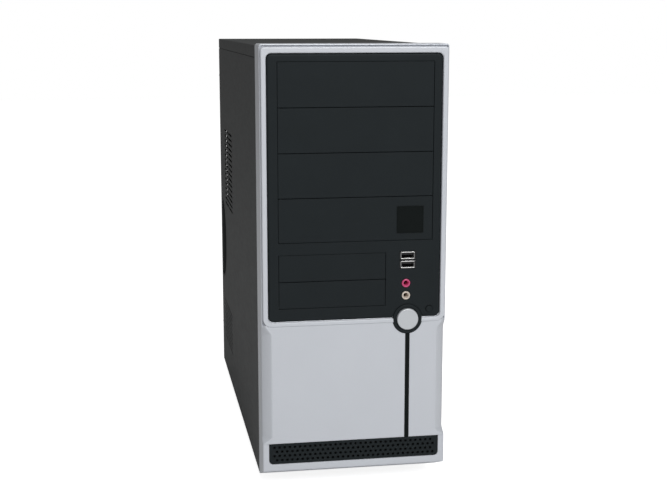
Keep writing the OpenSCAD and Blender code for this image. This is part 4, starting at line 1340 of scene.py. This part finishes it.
@dataclass
class Cables:
    """The power bundle, the disk's data lead and the front panel's lead, each with its plugs."""

    power: Route = Route(((62, 336, 357), (62, 318, 357), (60, 300, 354), (54, 280, 344), (44, 262, 326),
                          (34, 248, 302), (29, 238, 278), (31, 232, 258), (38, 231, 246), (48, 231, 241.5),
                          (57.9, 231, 241.5)))
    data: Route = Route(((-20, 191, 148), (-20, 203, 148), (-14, 218, 141), (4, 232, 122), (22, 240, 104),
                         (38, 244, 88), (50, 241, 77), (60.9, 240, 74)))
    panel: Route = Route(((62, 21.6, 172), (62, 32, 172), (62, 44, 166), (62, 62, 144), (62, 90, 110),
                          (62, 125, 80), (62, 165, 58), (63, 205, 44), (65, 240, 37.5), (65.5, 262, 36.5)))
    wire_r: float = 0.82
    fan_out: float = 0.7
    pin_pitch: float = 4.2
    colours: dict[str, tuple[Colour, tuple[int, ...]]] = field(default_factory=lambda: {
        "yellow": ((0.72, 0.46, 0.03), (6, 7, 17, 18)),
        "red": ((0.5, 0.02, 0.02), (2, 4, 13, 14, 15)),
        "orange": ((0.75, 0.16, 0.02), (0, 8, 9)),
        "black": ((0.015, 0.015, 0.016), (1, 3, 5, 10, 11, 12, 16))})

    def _lay(self, wire: int) -> Callable[[Vector, Vector, float], Vector]:
        """Where one of the 19 wires lies: twisted in the bundle, then fanned out to its pin.

        Args:
            wire: The wire's number, from 0 in the middle.

        Returns:
            A function that gives the wire's distance off the route.
        """
        ring, slot = (0, 0) if wire == 0 else (1, wire - 1) if wire < 7 else (2, wire - 7)
        radius = (0.0, 1.74, 3.4)[ring]
        start = 2 * math.pi * slot / max(6 * ring, 1)
        pin = Vector((0, (wire % 2 - 0.5) * self.pin_pitch, (wire // 2 - 4.5) * self.pin_pitch))

        def offset(u: Vector, v: Vector, share: float) -> Vector:
            """The wire's distance off the route.

            Args:
                u: The first sideways direction.
                v: The second sideways direction.
                share: The share of the way.

            Returns:
                The distance, as a vector.
            """
            turn = start + 13.0 * share
            spread = ease(min(max((share - self.fan_out) / (0.96 - self.fan_out), 0.0), 1.0))
            return (1 - spread) * radius * (math.cos(turn) * u + math.sin(turn) * v) + spread * pin
        return offset

    def power_bundle(self) -> None:
        """The supply's wires, ties, grommet and the plug on the board."""
        for colour, (tint, wires) in self.colours.items():
            form = Form()
            for wire in wires:
                self.power.wire(form, (self.wire_r,) * 2, offset=self._lay(wire))
            finish = Tinted(Finish.YELLOW, f"{colour}_wire", Moulding(tint, 0.36, 1.2, 0.02, 0.08))
            form.piece(f"power_wires_{colour}", finish, replaces=["power_cable"] * (colour == "yellow"))
        ties = Form()
        stations = self.power.stations()
        for index in (14, 30):
            place, u, v, _ = stations[index]
            band = [(4.3, -1.2), (4.9, -1.2), (4.9, 1.2), (4.3, 1.2), (4.3, -1.2)]
            ties.turned(band, place, u.cross(v), 32)
            knot = place + u * 5.4
            ties.rod(knot - v * 2.2, knot + v * 2.2, 1.6, 4)
        ties.piece("power_ties", Finish.BLACK)
        plug = Form().block((46.5, 57.8), (226.4, 235.6), (217.2, 265.8), 0.4)
        plug.block((48.5, 57.0), (225.2, 226.6), (238, 245), 0.3)
        for i in range(10):
            z = 241.5 + (i - 4.5) * self.pin_pitch
            plug.block((46.2, 46.9), (227.2, 230.5), (z - 1.6, z + 1.6), 0.1)
            plug.block((46.2, 46.9), (231.5, 234.8), (z - 1.6, z + 1.6), 0.1)
        plug.piece("power_plug", Tinted(Finish.SOCKET, "plug_nylon", Moulding((0.6, 0.57, 0.48), 0.42)))
        ring = [(5.2, 327.6), (6.6, 327.2), (9.4, 327.6), (9.6, 328.9), (7.9, 329.0),
                (7.9, 330.0), (9.2, 330.2), (8.8, 331.2), (5.4, 331.0), (5.2, 327.6)]
        Form().turned(ring, at(62, 0, 357), BACK, 40).piece("supply_grommet", Finish.BLACK)

    def data_lead(self) -> None:
        """The flat data lead with a plug at each end."""
        self.data.wire(Form(), (1.0, 3.4), 12).piece("data_lead_jacket", Finish.RED, replaces=["data_cable"])
        plugs = Form().block((-27.5, -12.5), (191.1, 203), (145.2, 150.8), 0.5)
        plugs.block((-24, -16), (202.6, 207), (146, 150), 0.6)
        plugs.block((49.5, 60.8), (232.6, 247.4), (71.2, 76.8), 0.5)
        plugs.block((46, 50), (236.5, 244.5), (72, 76.5), 0.6)
        plugs.piece("data_plugs", Finish.BLACK)

    def panel_lead(self) -> None:
        """Four thin wires from the front board to the board's header."""
        tints = {"white": (0.6, 0.6, 0.58), "green": (0.03, 0.25, 0.06), "red": (0.5, 0.02, 0.02),
                 "black": (0.015, 0.015, 0.016)}
        for i, (colour, tint) in enumerate(tints.items()):
            def offset(u: Vector, v: Vector, share: float, start: float = i * math.pi / 2) -> Vector:
                """The wire's place in the twist."""
                turn = start + 40.0 * share
                return 1.0 * (math.cos(turn) * u + math.sin(turn) * v)
            form = Route(self.panel.points, 9).wire(Form(), (0.72, 0.72), 8, offset)
            finish = Tinted(Finish.GREY, f"{colour}_thin_wire", Moulding(tint, 0.4, 1.2, 0.02, 0.08))
            form.piece(f"panel_wire_{colour}", finish, replaces=["panel_cable"] * (colour == "white"))
        plugs = Form().block((58.6, 65.4), (21.8, 29), (169.2, 174.8), 0.4)
        plugs.block((62.4, 68.6), (249, 261.8), (34.2, 38.8), 0.4)
        plugs.piece("panel_plugs", Finish.BLACK)

    def build(self) -> None:
        """Make the three leads."""
        self.power_bundle()
        self.data_lead()
        self.panel_lead()


# ---- Board ----


@dataclass
class Board:
    """Small components of the board, which stand off its face towards the left panel."""

    face_x: float = field(default_factory=lambda: Room("motherboard").low.x)
    slots_z: tuple[float, ...] = tuple(160 - i * 20.32 for i in range(1, 6))
    can_rows: tuple[tuple[float, float, float, float], ...] = (
        *((396.0, 236.0 + 11 * i, 4.0, 11.0) for i in range(6)),
        *((318.0 + 12 * i, 221.0, 4.0, 11.0) for i in range(6)),
        *((292.0, 192.0 + 9 * i, 2.6, 8.0) for i in range(4)),
        *((250.0, 190.0 + 9 * i, 3.2, 9.0) for i in range(3)),
        *((346.0, 50.0 + 22 * i, 2.6, 7.0) for i in range(4)),
        *((360.0, 40.0 + 22 * i, 2.6, 7.0) for i in range(4)))
    coils: tuple[tuple[float, float], ...] = ((412.0, 246.0), (412.0, 264.0), (412.0, 282.0), (250.0, 284.0))
    chips: tuple[tuple[float, float, float, float], ...] = (
        (256.0, 120.0, 14.0, 14.0), (250.0, 160.0, 10.0, 10.0), (430.0, 176.0, 9.0, 9.0),
        (425.0, 212.0, 11.0, 11.0), (322.0, 60.0, 12.0, 10.0), (300.0, 200.0, 7.0, 5.0))
    cell: tuple[float, float] = (330.0, 100.0)
    module_depths: tuple[float, float] = (272.0, 282.0)

    def _up(self, depth: float, z: float, height: float) -> Vector:
        """A point over the board's face."""
        return at(self.face_x - height, depth, z)

    def cans(self) -> None:
        """Capacitors: sleeved cans with bare vented tops."""
        sleeves, tops = Form(), Form()
        for depth, z, r, height in self.can_rows:
            foot, out = self._up(depth, z, 0), Vector((-1, 0, 0))
            lip, sunk = r * 0.78, height - 0.3
            side = [(0, 0.0), (r * 0.86, 0.0), (r, 0.5), (r, 1.4), (r * 0.93, 1.9), (r, 2.4),
                    (r, height - 0.5), (r * 0.9, height), (lip, height), (lip, sunk), (0.0, sunk)]
            sleeves.turned(side, foot, out, 24)
            top = [(0.0, sunk), (lip, sunk), (lip, height - 0.1), (r * 0.7, height + 0.02),
                   (0.0, height + 0.02)]
            tops.turned(top, foot, out, 24)
        film = Tinted(Finish.BLACK, "can_sleeve", Moulding((0.02, 0.035, 0.1), 0.3))
        sleeves.piece("capacitor_sleeves", film)
        tops.piece("capacitor_tops", Finish.FINS)

    def chokes(self) -> None:
        """Toroid coils standing on the board."""
        cores, wires = Form(), Form()
        for depth, z in self.coils:
            middle = self._up(depth, z, 4.2)
            cores.turned(arc((5.4, 0.0), 2.3, 0, 360, 16), middle, Vector((-1, 0, 0)), 36)
            for i in range(15):
                a = 2 * math.pi * i / 18
                spot = middle + 5.4 * Vector((0, math.cos(a), math.sin(a)))
                along = Vector((0, -math.sin(a), math.cos(a)))
                wires.turned(arc((2.75, 0.0), 0.5, 0, 360, 6), spot, along, 14)
        cores.piece("choke_cores", Tinted(Finish.BLACK, "ferrite", Moulding((0.3, 0.28, 0.05), 0.5)))
        copper = Tinted(Finish.BRASS, "enamelled_copper", Metal((0.6, 0.22, 0.08), 0.3))
        wires.piece("choke_windings", copper)

    def packages(self) -> None:
        """Chips with bent legs, pin headers and the drive header."""
        bodies, legs, pins = Form(), Form(), Form()
        for depth, z, wide, tall in self.chips:
            x = self.face_x
            bodies.block((x - 2.0, x - 0.3), (depth - wide / 2, depth + wide / 2),
                         (z - tall / 2, z + tall / 2), 0.2)
            count = int(tall / 1.2)
            for i in range(count):
                step = z + (i - (count - 1) / 2) * 1.2
                for s in (-1, 1):
                    near, far = sorted((depth + s * (wide / 2 - 0.2), depth + s * (wide / 2 + 0.9)))
                    legs.block((x - 0.9, x - 0.65), (near, far), (step - 0.22, step + 0.22))
                    out = depth + s * (wide / 2 + 1.0)
                    legs.block((x - 0.9, x + 0.02), (out - 0.15, out + 0.15), (step - 0.22, step + 0.22))
        for row in ((308.0, 38.0), (308.0, 40.54), (236.0, 56.0), (236.0, 58.54), (330.0, 44.0)):
            for i in range(9):
                depth = row[0] + 2.54 * i
                pins.block((61.2, 69.95), (depth - 0.32, depth + 0.32), (row[1] - 0.32, row[1] + 0.32))
            ends = (row[0] - 1.27, row[0] + 8 * 2.54 + 1.27)
            bodies.block((67.4, 69.9), ends, (row[1] - 1.25, row[1] + 1.25), 0.15)
        for z in (107.0, 166.0):
            bodies.block((61.0, 69.9), (231.0, 241.0), (z, z + 1.2), 0.2)
        for depth in (231.0, 239.8):
            bodies.block((61.0, 69.9), (depth, depth + 1.2), (108.0, 166.4), 0.2)
        for i in range(20):
            for depth in (234.8, 237.4):
                z = 112.5 + 2.54 * i
                pins.block((62.5, 69.95), (depth - 0.32, depth + 0.32), (z - 0.32, z + 0.32))
        bodies.piece("board_chips", Finish.BLACK)
        legs.piece("chip_legs", Finish.PLATED)
        pins.piece("header_pins", Finish.BRASS)

    def coin_cell(self) -> None:
        """The clock's coin cell in its holder."""
        foot, out = self._up(*self.cell, 0), Vector((-1, 0, 0))
        holder = [(0.0, 0.0), (11.4, 0.0), (11.6, 0.3), (11.6, 4.0),
                  (11.2, 4.2), (10.4, 4.2), (10.3, 1.6), (0.0, 1.6)]
        Form().turned(holder, foot, out, 56).piece("cell_holder", Finish.BLACK)
        cell = [(0.0, 1.7), (9.4, 1.7), (9.9, 2.0), (9.9, 4.1), (9.6, 4.6), (8.9, 4.8), (0.0, 4.8)]
        Form().turned(cell, foot, out, 56).piece("coin_cell", Finish.PLATED)

    def sockets(self) -> None:
        """The sockets, grooved for cards, with the memory latches."""
        form = Form.of_node("board_sockets")
        grooves = Form()
        for z in self.slots_z:
            grooves.block((58.0, 65.0), (375, 454), (z - 1.1, z + 1.1))
        form.carve(grooves).soften(0.3, 2, CORNER_TURN)
        form.piece("board_sockets_grooved", Finish.SOCKET, replaces=["board_sockets"])
        latches, contacts = Form(), Form()
        for depth in self.module_depths:
            for z, s in ((175.0, -1), (315.0, 1)):
                low = min(z, z + s * 4.5)
                latches.block((55.5, 69.9), (depth - 2.6, depth + 2.6), (low, low + 4.5), 0.7)
                tip = min(z + s * 3.0, z + s * 7.5)
                latches.block((53.6, 57.2), (depth - 2.0, depth + 2.0), (tip, tip + 4.5), 0.8)
        for z in self.slots_z:
            for i in range(40):
                for s in (-1, 1):
                    depth = 377.5 + 1.9 * i
                    near, far = sorted((z + s * 0.75, z + s * 1.15))
                    contacts.block((59.4, 65.0), (depth - 0.35, depth + 0.35), (near, far))
        nylon = Tinted(Finish.SOCKET, "latch_nylon", Moulding((0.7, 0.7, 0.68), 0.4))
        latches.piece("memory_latches", nylon)
        contacts.piece("slot_contacts", Finish.BRASS)

    def memory_chips(self) -> None:
        """Chips and gold edge contacts on the memory modules."""
        chips, gold = Form(), Form()
        for depth in self.module_depths:
            for i in range(8):
                z = 184.0 + 15.6 * i
                chips.block((41.4, 56.4), (depth - 1.95, depth - 0.55), (z - 0.1, z + 11.1), 0.15)
                chips.block((41.4, 56.4), (depth + 0.55, depth + 1.75), (z - 0.1, z + 11.1), 0.15)
            for i in range(52):
                z = 183.0 + 2.4 * i
                gold.block((59.2, 61.8), (depth - 0.68, depth + 0.68), (z, z + 1.3))
        chips.piece("memory_chips", Finish.BLACK)
        gold.piece("memory_contacts", Finish.BRASS)

    def build(self) -> None:
        """Populate the board."""
        for step in (self.cans, self.chokes, self.packages, self.coin_cell, self.sockets, self.memory_chips):
            step()


# ---- Rear connectors ----


@dataclass
class RearConnectors:
    """Shells, collars and pins of the sockets at the back."""

    back: float = field(default_factory=lambda: Room("rear_panel").high.y)
    audio: Vector = field(default_factory=lambda: Room("audio_ports").mid)
    inlet: Vector = field(default_factory=lambda: Room("power_inlet").mid)
    audio_pitch: float = 12.5
    round_x: dict[str, float] = field(default_factory=lambda: {"violet": 50.4, "green": 63.4})
    round_z: float = 322.0
    audio_colours: tuple[str, ...] = ("blue", "lime", "pink")
    usb: tuple[tuple[float, float], ...] = ((58, 215.8), (65.5, 215.8), (58.5, 195.8), (65.8, 195.8))
    tints: dict[str, Colour] = field(default_factory=lambda: {
        "violet": (0.2, 0.08, 0.36), "green": (0.06, 0.34, 0.16), "blue": (0.1, 0.3, 0.6),
        "lime": (0.3, 0.6, 0.12), "pink": (0.62, 0.1, 0.25), "teal": (0.02, 0.3, 0.32),
        "magenta": (0.5, 0.05, 0.22)})

    def _tint(self, colour: str) -> Tinted:
        """A coloured socket plastic."""
        glossy = Moulding(self.tints[colour], 0.35, 0.9, 0.01, 0.06, 0.2)
        return Tinted(Finish.BLACK, f"{colour}_socket", glossy)

    def round_sockets(self) -> None:
        """Keyboard and mouse sockets: a coloured collar with a holed insert."""
        for colour, x in self.round_x.items():
            b = self.back
            section = [(0.0, b - 4), (4.6, b - 4), (4.6, b + 0.4), (5.0, b + 0.95), (5.5, b + 1.1),
                       (5.9, b + 1.0), (6.1, b + 0.5), (4.75, b + 0.3), (4.75, b - 6), (0.0, b - 6)]
            form = Form().turned(section, at(x, 0, self.round_z), BACK, 48)
            form.piece(f"{colour}_round_socket", self._tint(colour))
        inserts, pins = Form(), Form()
        for x in self.round_x.values():
            z = self.round_z
            inserts.rod(at(x, b - 4.2, z), at(x, b - 0.4, z), 3.5, 40, 3.3)
            inserts.block((x - 1.0, x + 1.0), (b - 4.2, b - 0.1), (z + 1.4, z + 3.0), 0.2)
            for px, pz in arc((x, z), 2.2, 130, 280, 5):
                pins.rod(at(px, b - 3, pz), at(px, b - 0.32, pz), 0.4, 10)
        inserts.piece("round_socket_inserts", Finish.BLACK)
        pins.piece("round_socket_contacts", Finish.BRASS)

    def audio_collars(self) -> None:
        """Line and speaker sockets with coloured collars."""
        b = self.back
        for place, colour in enumerate(self.audio_colours, -1):
            ring = [(1.85, b - 13), (1.85, b - 0.6), (2.2, b + 0.5), (2.6, b + 1.4), (3.2, b + 1.7),
                    (3.9, b + 1.5), (4.2, b + 1.0), (4.3, b - 1.0), (2.1, b - 1.4), (2.1, b - 13),
                    (1.85, b - 13)]
            x = self.audio.x + place * self.audio_pitch
            form = Form().turned(ring, at(x, 0, self.audio.z), BACK, 40)
            form.piece(f"{colour}_audio_collar", self._tint(colour))

    def _wedge(self, x: float, z: float, half: float, grow: float) -> Outline:
        """Outline of a D connector, grown by a margin."""
        return [(x - 4 - grow, z - half - grow), (x + 4 + grow, z - half + 1.5 - grow),
                (x + 4 + grow, z + half - 1.5 + grow), (x - 4 - grow, z + half + grow)]

    def d_connectors(self) -> None:
        """Plated D shells, coloured faces with holes, and hexagon posts."""
        b = self.back
        shells, posts = Form(), Form()
        for x, z, half, colour, rows in ((63, 288.5, 8.5, "teal", (5, 4)), (63, 251.5, 8.5, "teal", (5, 4)),
                                         (49.5, 270, 27, "magenta", (13, 12))):
            plate = Form().block((x - 6, x + 6), (b + 0.8, b + 1.3), (z - half - 7.6, z + half + 7.6), 0.15)
            skirt = Form().prism(self._wedge(x, z, half, 0.55), (b + 1.0, b + 5.3), 0.12)
            for form in (plate, skirt):
                shells.take(form.carve(Form().prism(self._wedge(x, z, half, 0.02), (b, b + 6))))
            face = Form().prism(self._wedge(x, z, half, -0.45), (b + 4.6, b + 5.15), 0.1)
            holes = Form()
            for row, count in enumerate(rows):
                for i in range(count):
                    spot = (x - 1.4 + 2.8 * row, z + (i - (count - 1) / 2) * 2.0 * min(1.0, half / 8.5) *
                            (1.0 if count > 6 else 1.35))
                    holes.rod(at(spot[0], b + 4.8, spot[1]), at(spot[0], b + 6, spot[1]), 0.5, 8)
            face.carve(holes).piece(f"d_face_{int(x)}_{int(z)}", self._tint(colour))
            for s in (-1, 1):
                end = z + s * (half + 4)
                posts.rod(at(x, b + 0.9, end), at(x, b + 5.3, end), 2.75, 6)
                posts.rod(at(x, b + 5.25, end), at(x, b + 5.6, end), 1.7, 20, 1.3)
        shells.piece("d_shells", Finish.PLATED)
        posts.piece("d_posts", Finish.PLATED)

    def square_sockets(self) -> None:
        """Folded metal rims of the network and USB sockets, with the network contacts."""
        rims, contacts = Form(), Form()
        b = self.back
        mouths = [((x - 2.5, x + 2.5), (z, z + 12.5)) for x, z in self.usb] + [((42, 54), (196, 208))]
        for (x0, x1), (z0, z1) in mouths:
            skirt, lip = (461, b + 1.1), (b + 0.82, b + 1.2)
            for s, x, z in ((-1, x0, z0), (1, x1, z1)):
                rims.block(sorted((x - s * 0.05, x - s * 0.4)), skirt, (z0 - 0.1, z1 + 0.1), 0.08)
                rims.block(sorted((x + s * 0.35, x - s * 0.4)), lip, (z0 - 0.5, z1 + 0.5), 0.1)
                rims.block((x0, x1), skirt, sorted((z - s * 0.05, z - s * 0.4)), 0.08)
                rims.block((x0 - 0.3, x1 + 0.3), lip, sorted((z + s * 0.35, z - s * 0.4)), 0.1)
        for i in range(8):
            z = 202 + (i - 3.5) * 1.02
            contacts.rod(at(43.2, 462, z), at(46.5, 469.3, z), 0.25, 6)
        for x, z in self.usb:
            for i in range(4):
                spot = z + 2.6 + 2.4 * i
                contacts.block((x - 0.5, x - 0.28), (461, 468.4), (spot - 0.5, spot + 0.5))
        rims.piece("rear_socket_rims", Finish.PLATED)
        contacts.piece("rear_socket_contacts", Finish.BRASS)

    def inlet_pins(self) -> None:
        """The three blades of the mains inlet."""
        form = Form()
        for x, z in ((self.inlet.x - 7, 364), (self.inlet.x, 368), (self.inlet.x + 7, 364)):
            form.block((x - 1.1, x + 1.1), (452.2, 464.2), (z - 2.1, z + 2.1), 0.5)
        form.piece("inlet_blades", Finish.PLATED)

    def build(self) -> None:
        """Make the rear connectors."""
        for step in (self.round_sockets, self.audio_collars, self.d_connectors, self.square_sockets,
                     self.inlet_pins):
            step()


# ---- Disk and lamps ----


@dataclass
class Disk:
    """The hard disk's lid and label, and the two indicator lamps."""

    lamp_reach: float = 1.9

    def build(self) -> None:
        """Make the disk's details and the lamps."""
        low, high = Room("hard_drive").low, Room("hard_drive").high
        near, far = low.y, high.y
        lid = Form().block((low.x + 2, high.x - 2), (near + 3, far - 14), (high.z - 0.6, high.z + 0.3), 0.25)
        for x in (low.x + 7, (low.x + high.x) / 2, high.x - 7):
            for depth in (near + 8, far - 20):
                lid.rod(at(x, depth, high.z), at(x, depth, high.z + 0.75), 2.0, 24, 1.7)
        lid.piece("disk_lid", Finish.DISK)
        label = Form().block((low.x + 15, high.x - 15), (near + 25, far - 40),
                             (high.z + 0.2, high.z + 0.42), 0.08)
        paper = Tinted(Finish.SOCKET, "paper_label", Moulding((0.7, 0.7, 0.68), 0.6, 2.0, 0.01))
        label.piece("disk_label", paper)
        lamps, lit = Form(), Room("indicator_leds")
        for z in (lit.high.z - self.lamp_reach, lit.low.z + self.lamp_reach):
            dome = [(0.0, 4.15), (0.6, 4.25), (1.1, 4.6), (1.45, 5.3), (1.5, 6.0),
                    (1.5, 8.0), (1.9, 8.05), (1.9, 10.0), (0.0, 10.0)]
            lamps.turned(dome, at(lit.mid.x, 0, z), BACK, 32)
        lamps.piece("indicator_lamps", Finish.LENS, replaces=["indicator_leds"])


# ---- Everything whose shape the frame already gives ----


@dataclass
class Refined:
    """CAD nodes that keep their shape and get softened edges and a finish."""

    widths: dict[str, float] = field(default_factory=lambda: {
        "top_cover": 0.8, "left_side_panel": 0.3, "right_side_panel": 0.3, "rear_panel": 0.22,
        "front_plate": 0.22, "base_pan": 0.22, "motherboard_tray": 0.22, "optical_cage": 0.22,
        "drive_cage": 0.22, "psu_base": 0.22, "psu_cover": 0.25, "slot_covers": 0.2, "io_shield": 0.12,
        "left_panel_screws": 0.25, "right_panel_screws": 0.25, "front_switches": 0.3, "front_io_board": 0.2,
        "motherboard": 0.25, "cpu_heatsink": 0.2, "chipset_heatsink": 0.25, "memory_modules": 0.12,
        "board_sockets": 0.3, "rear_fan_frame": 0.4, "psu_fan_frame": 0.4, "cpu_fan_frame": 0.4,
        "power_inlet": 0.25, "psu_rocker": 0.5, "hard_drive": 0.5, "feet": 0.6, "case_screws": 0.3,
        "io_ports": 0.25, "audio_ports": 0.25})
    turn: float = 50.0

    def build(self, left: set[str]) -> None:
        """Refine the nodes that nothing else has replaced.

        Args:
            left: Names of the nodes still showing.
        """
        for node, width in self.widths.items():
            if node in left:
                body = frame["nodes"][node]["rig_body"]
                form = Form.of_node(node).soften(width, 2, self.turn)
                form.piece(f"{node}_refined", Finish.of(node), body, [node])


def still_showing() -> set[str]:
    """Names of the CAD nodes that no piece has replaced."""
    return {name for name, node in frame["nodes"].items() if not node.hide_render}


def dress_nodes() -> None:
    """Give every CAD node that still shows the finish of its slot."""
    for name in still_showing():
        slots = frame["nodes"][name].material_slots
        for place in slots:
            place.material = Finish.of(name).material()


# ---- Stage ----


@dataclass
class Studio:
    """Camera, soft lights and a pale floor."""

    camera_at: Vector = field(default_factory=lambda: Vector((-0.2135, -1.3715, 0.4530)))
    heading: float = 9.634
    tilt: float = -10.475
    lens: float = 66.66
    floor_size: float = 12.0
    floor_glow: float = 0.85
    sky_light: float = 0.22

    def camera(self) -> None:
        """Place the camera."""
        data = bpy.data.cameras.new("camera")
        data.lens = self.lens
        data.sensor_width = 36.0
        made = bpy.data.objects.new("camera", data)
        made.location = self.camera_at
        made.rotation_euler = (math.radians(90 + self.tilt), 0.0, math.radians(-self.heading))
        bpy.context.scene.collection.objects.link(made)
        bpy.context.scene.camera = made

    def lamp(self, name: str, place: Colour, aim: Colour, size: float, power: float) -> None:
        """Add a soft square lamp that faces a point.

        Args:
            name: Its name.
            place: Where it stands, in metres.
            aim: The point that it faces.
            size: The length of its side, in metres.
            power: Its power in watts.
        """
        data = bpy.data.lights.new(name, "AREA")
        data.size = size
        data.energy = power
        made = bpy.data.objects.new(name, data)
        made.location = place
        made.rotation_euler = (Vector(aim) - Vector(place)).to_track_quat("-Z", "Y").to_euler()
        bpy.context.scene.collection.objects.link(made)

    def floor(self) -> None:
        """Lay the pale floor."""
        form = bmesh.new()
        bmesh.ops.create_grid(form, x_segments=1, y_segments=1, size=self.floor_size / 2)
        mesh = bpy.data.meshes.new("floor")
        form.to_mesh(mesh)
        form.free()
        made = bpy.data.objects.new("floor", mesh)
        made.location.z = -0.0005
        bpy.context.scene.collection.objects.link(made)
        paint = Paint("pale_floor")
        cloud = paint.noise(900.0, 2.0)
        base = paint.blend(cloud, (0.86, 0.86, 0.86), (0.9, 0.9, 0.9))
        seen = Value(paint, paint.node("ShaderNodeLightPath").outputs["Is Camera Ray"])
        glow = paint.blend(seen, (0.0, 0.0, 0.0), (self.floor_glow,) * 3)
        made.data.materials.append(paint.surface(Base_Color=base, Roughness=0.85, Emission_Color=glow,
                                                 Emission_Strength=1.0))

    def sky(self) -> bpy.types.World:
        """A white backdrop that lights the object only softly.

        Returns:
            The world.
        """
        world = bpy.data.worlds.new("studio")
        world.use_nodes = True
        tree = world.node_tree
        path, mix = tree.nodes.new("ShaderNodeLightPath"), tree.nodes.new("ShaderNodeMix")
        mix.data_type = "RGBA"
        mix.inputs[6].default_value = (*(self.sky_light,) * 3, 1.0)
        mix.inputs[7].default_value = (1.0, 1.0, 1.0, 1.0)
        tree.links.new(path.outputs["Is Camera Ray"], mix.inputs[0])
        tree.links.new(mix.outputs[2], tree.nodes["Background"].inputs["Color"])
        return world

    def build(self) -> None:
        """Set the stage."""
        self.camera()
        self.floor()
        scene = bpy.context.scene
        scene.view_settings.view_transform = "Standard"
        scene.world = self.sky()
        self.lamp("front_soft", (0.35, -2.2, 1.75), (0.0, 0.0, 0.1), 1.4, 43.0)
        self.lamp("top_soft", (0.0, 0.35, 2.4), (0.0, 0.15, 0.3), 1.8, 6.5)


def main() -> None:
    """Build the object and its stage, in order."""
    logging.basicConfig(level=logging.INFO, format="%(message)s")
    Studio().build()
    assemblies = (FrontHousing(), Fascia(), Controls(), Fans(), Cables(), Board(), RearConnectors(), Disk())
    for assembly in assemblies:
        assembly.build()
        log.info("%s done", type(assembly).__name__)
    Refined().build(still_showing())
    dress_nodes()


if __name__ == "__main__":
    main()
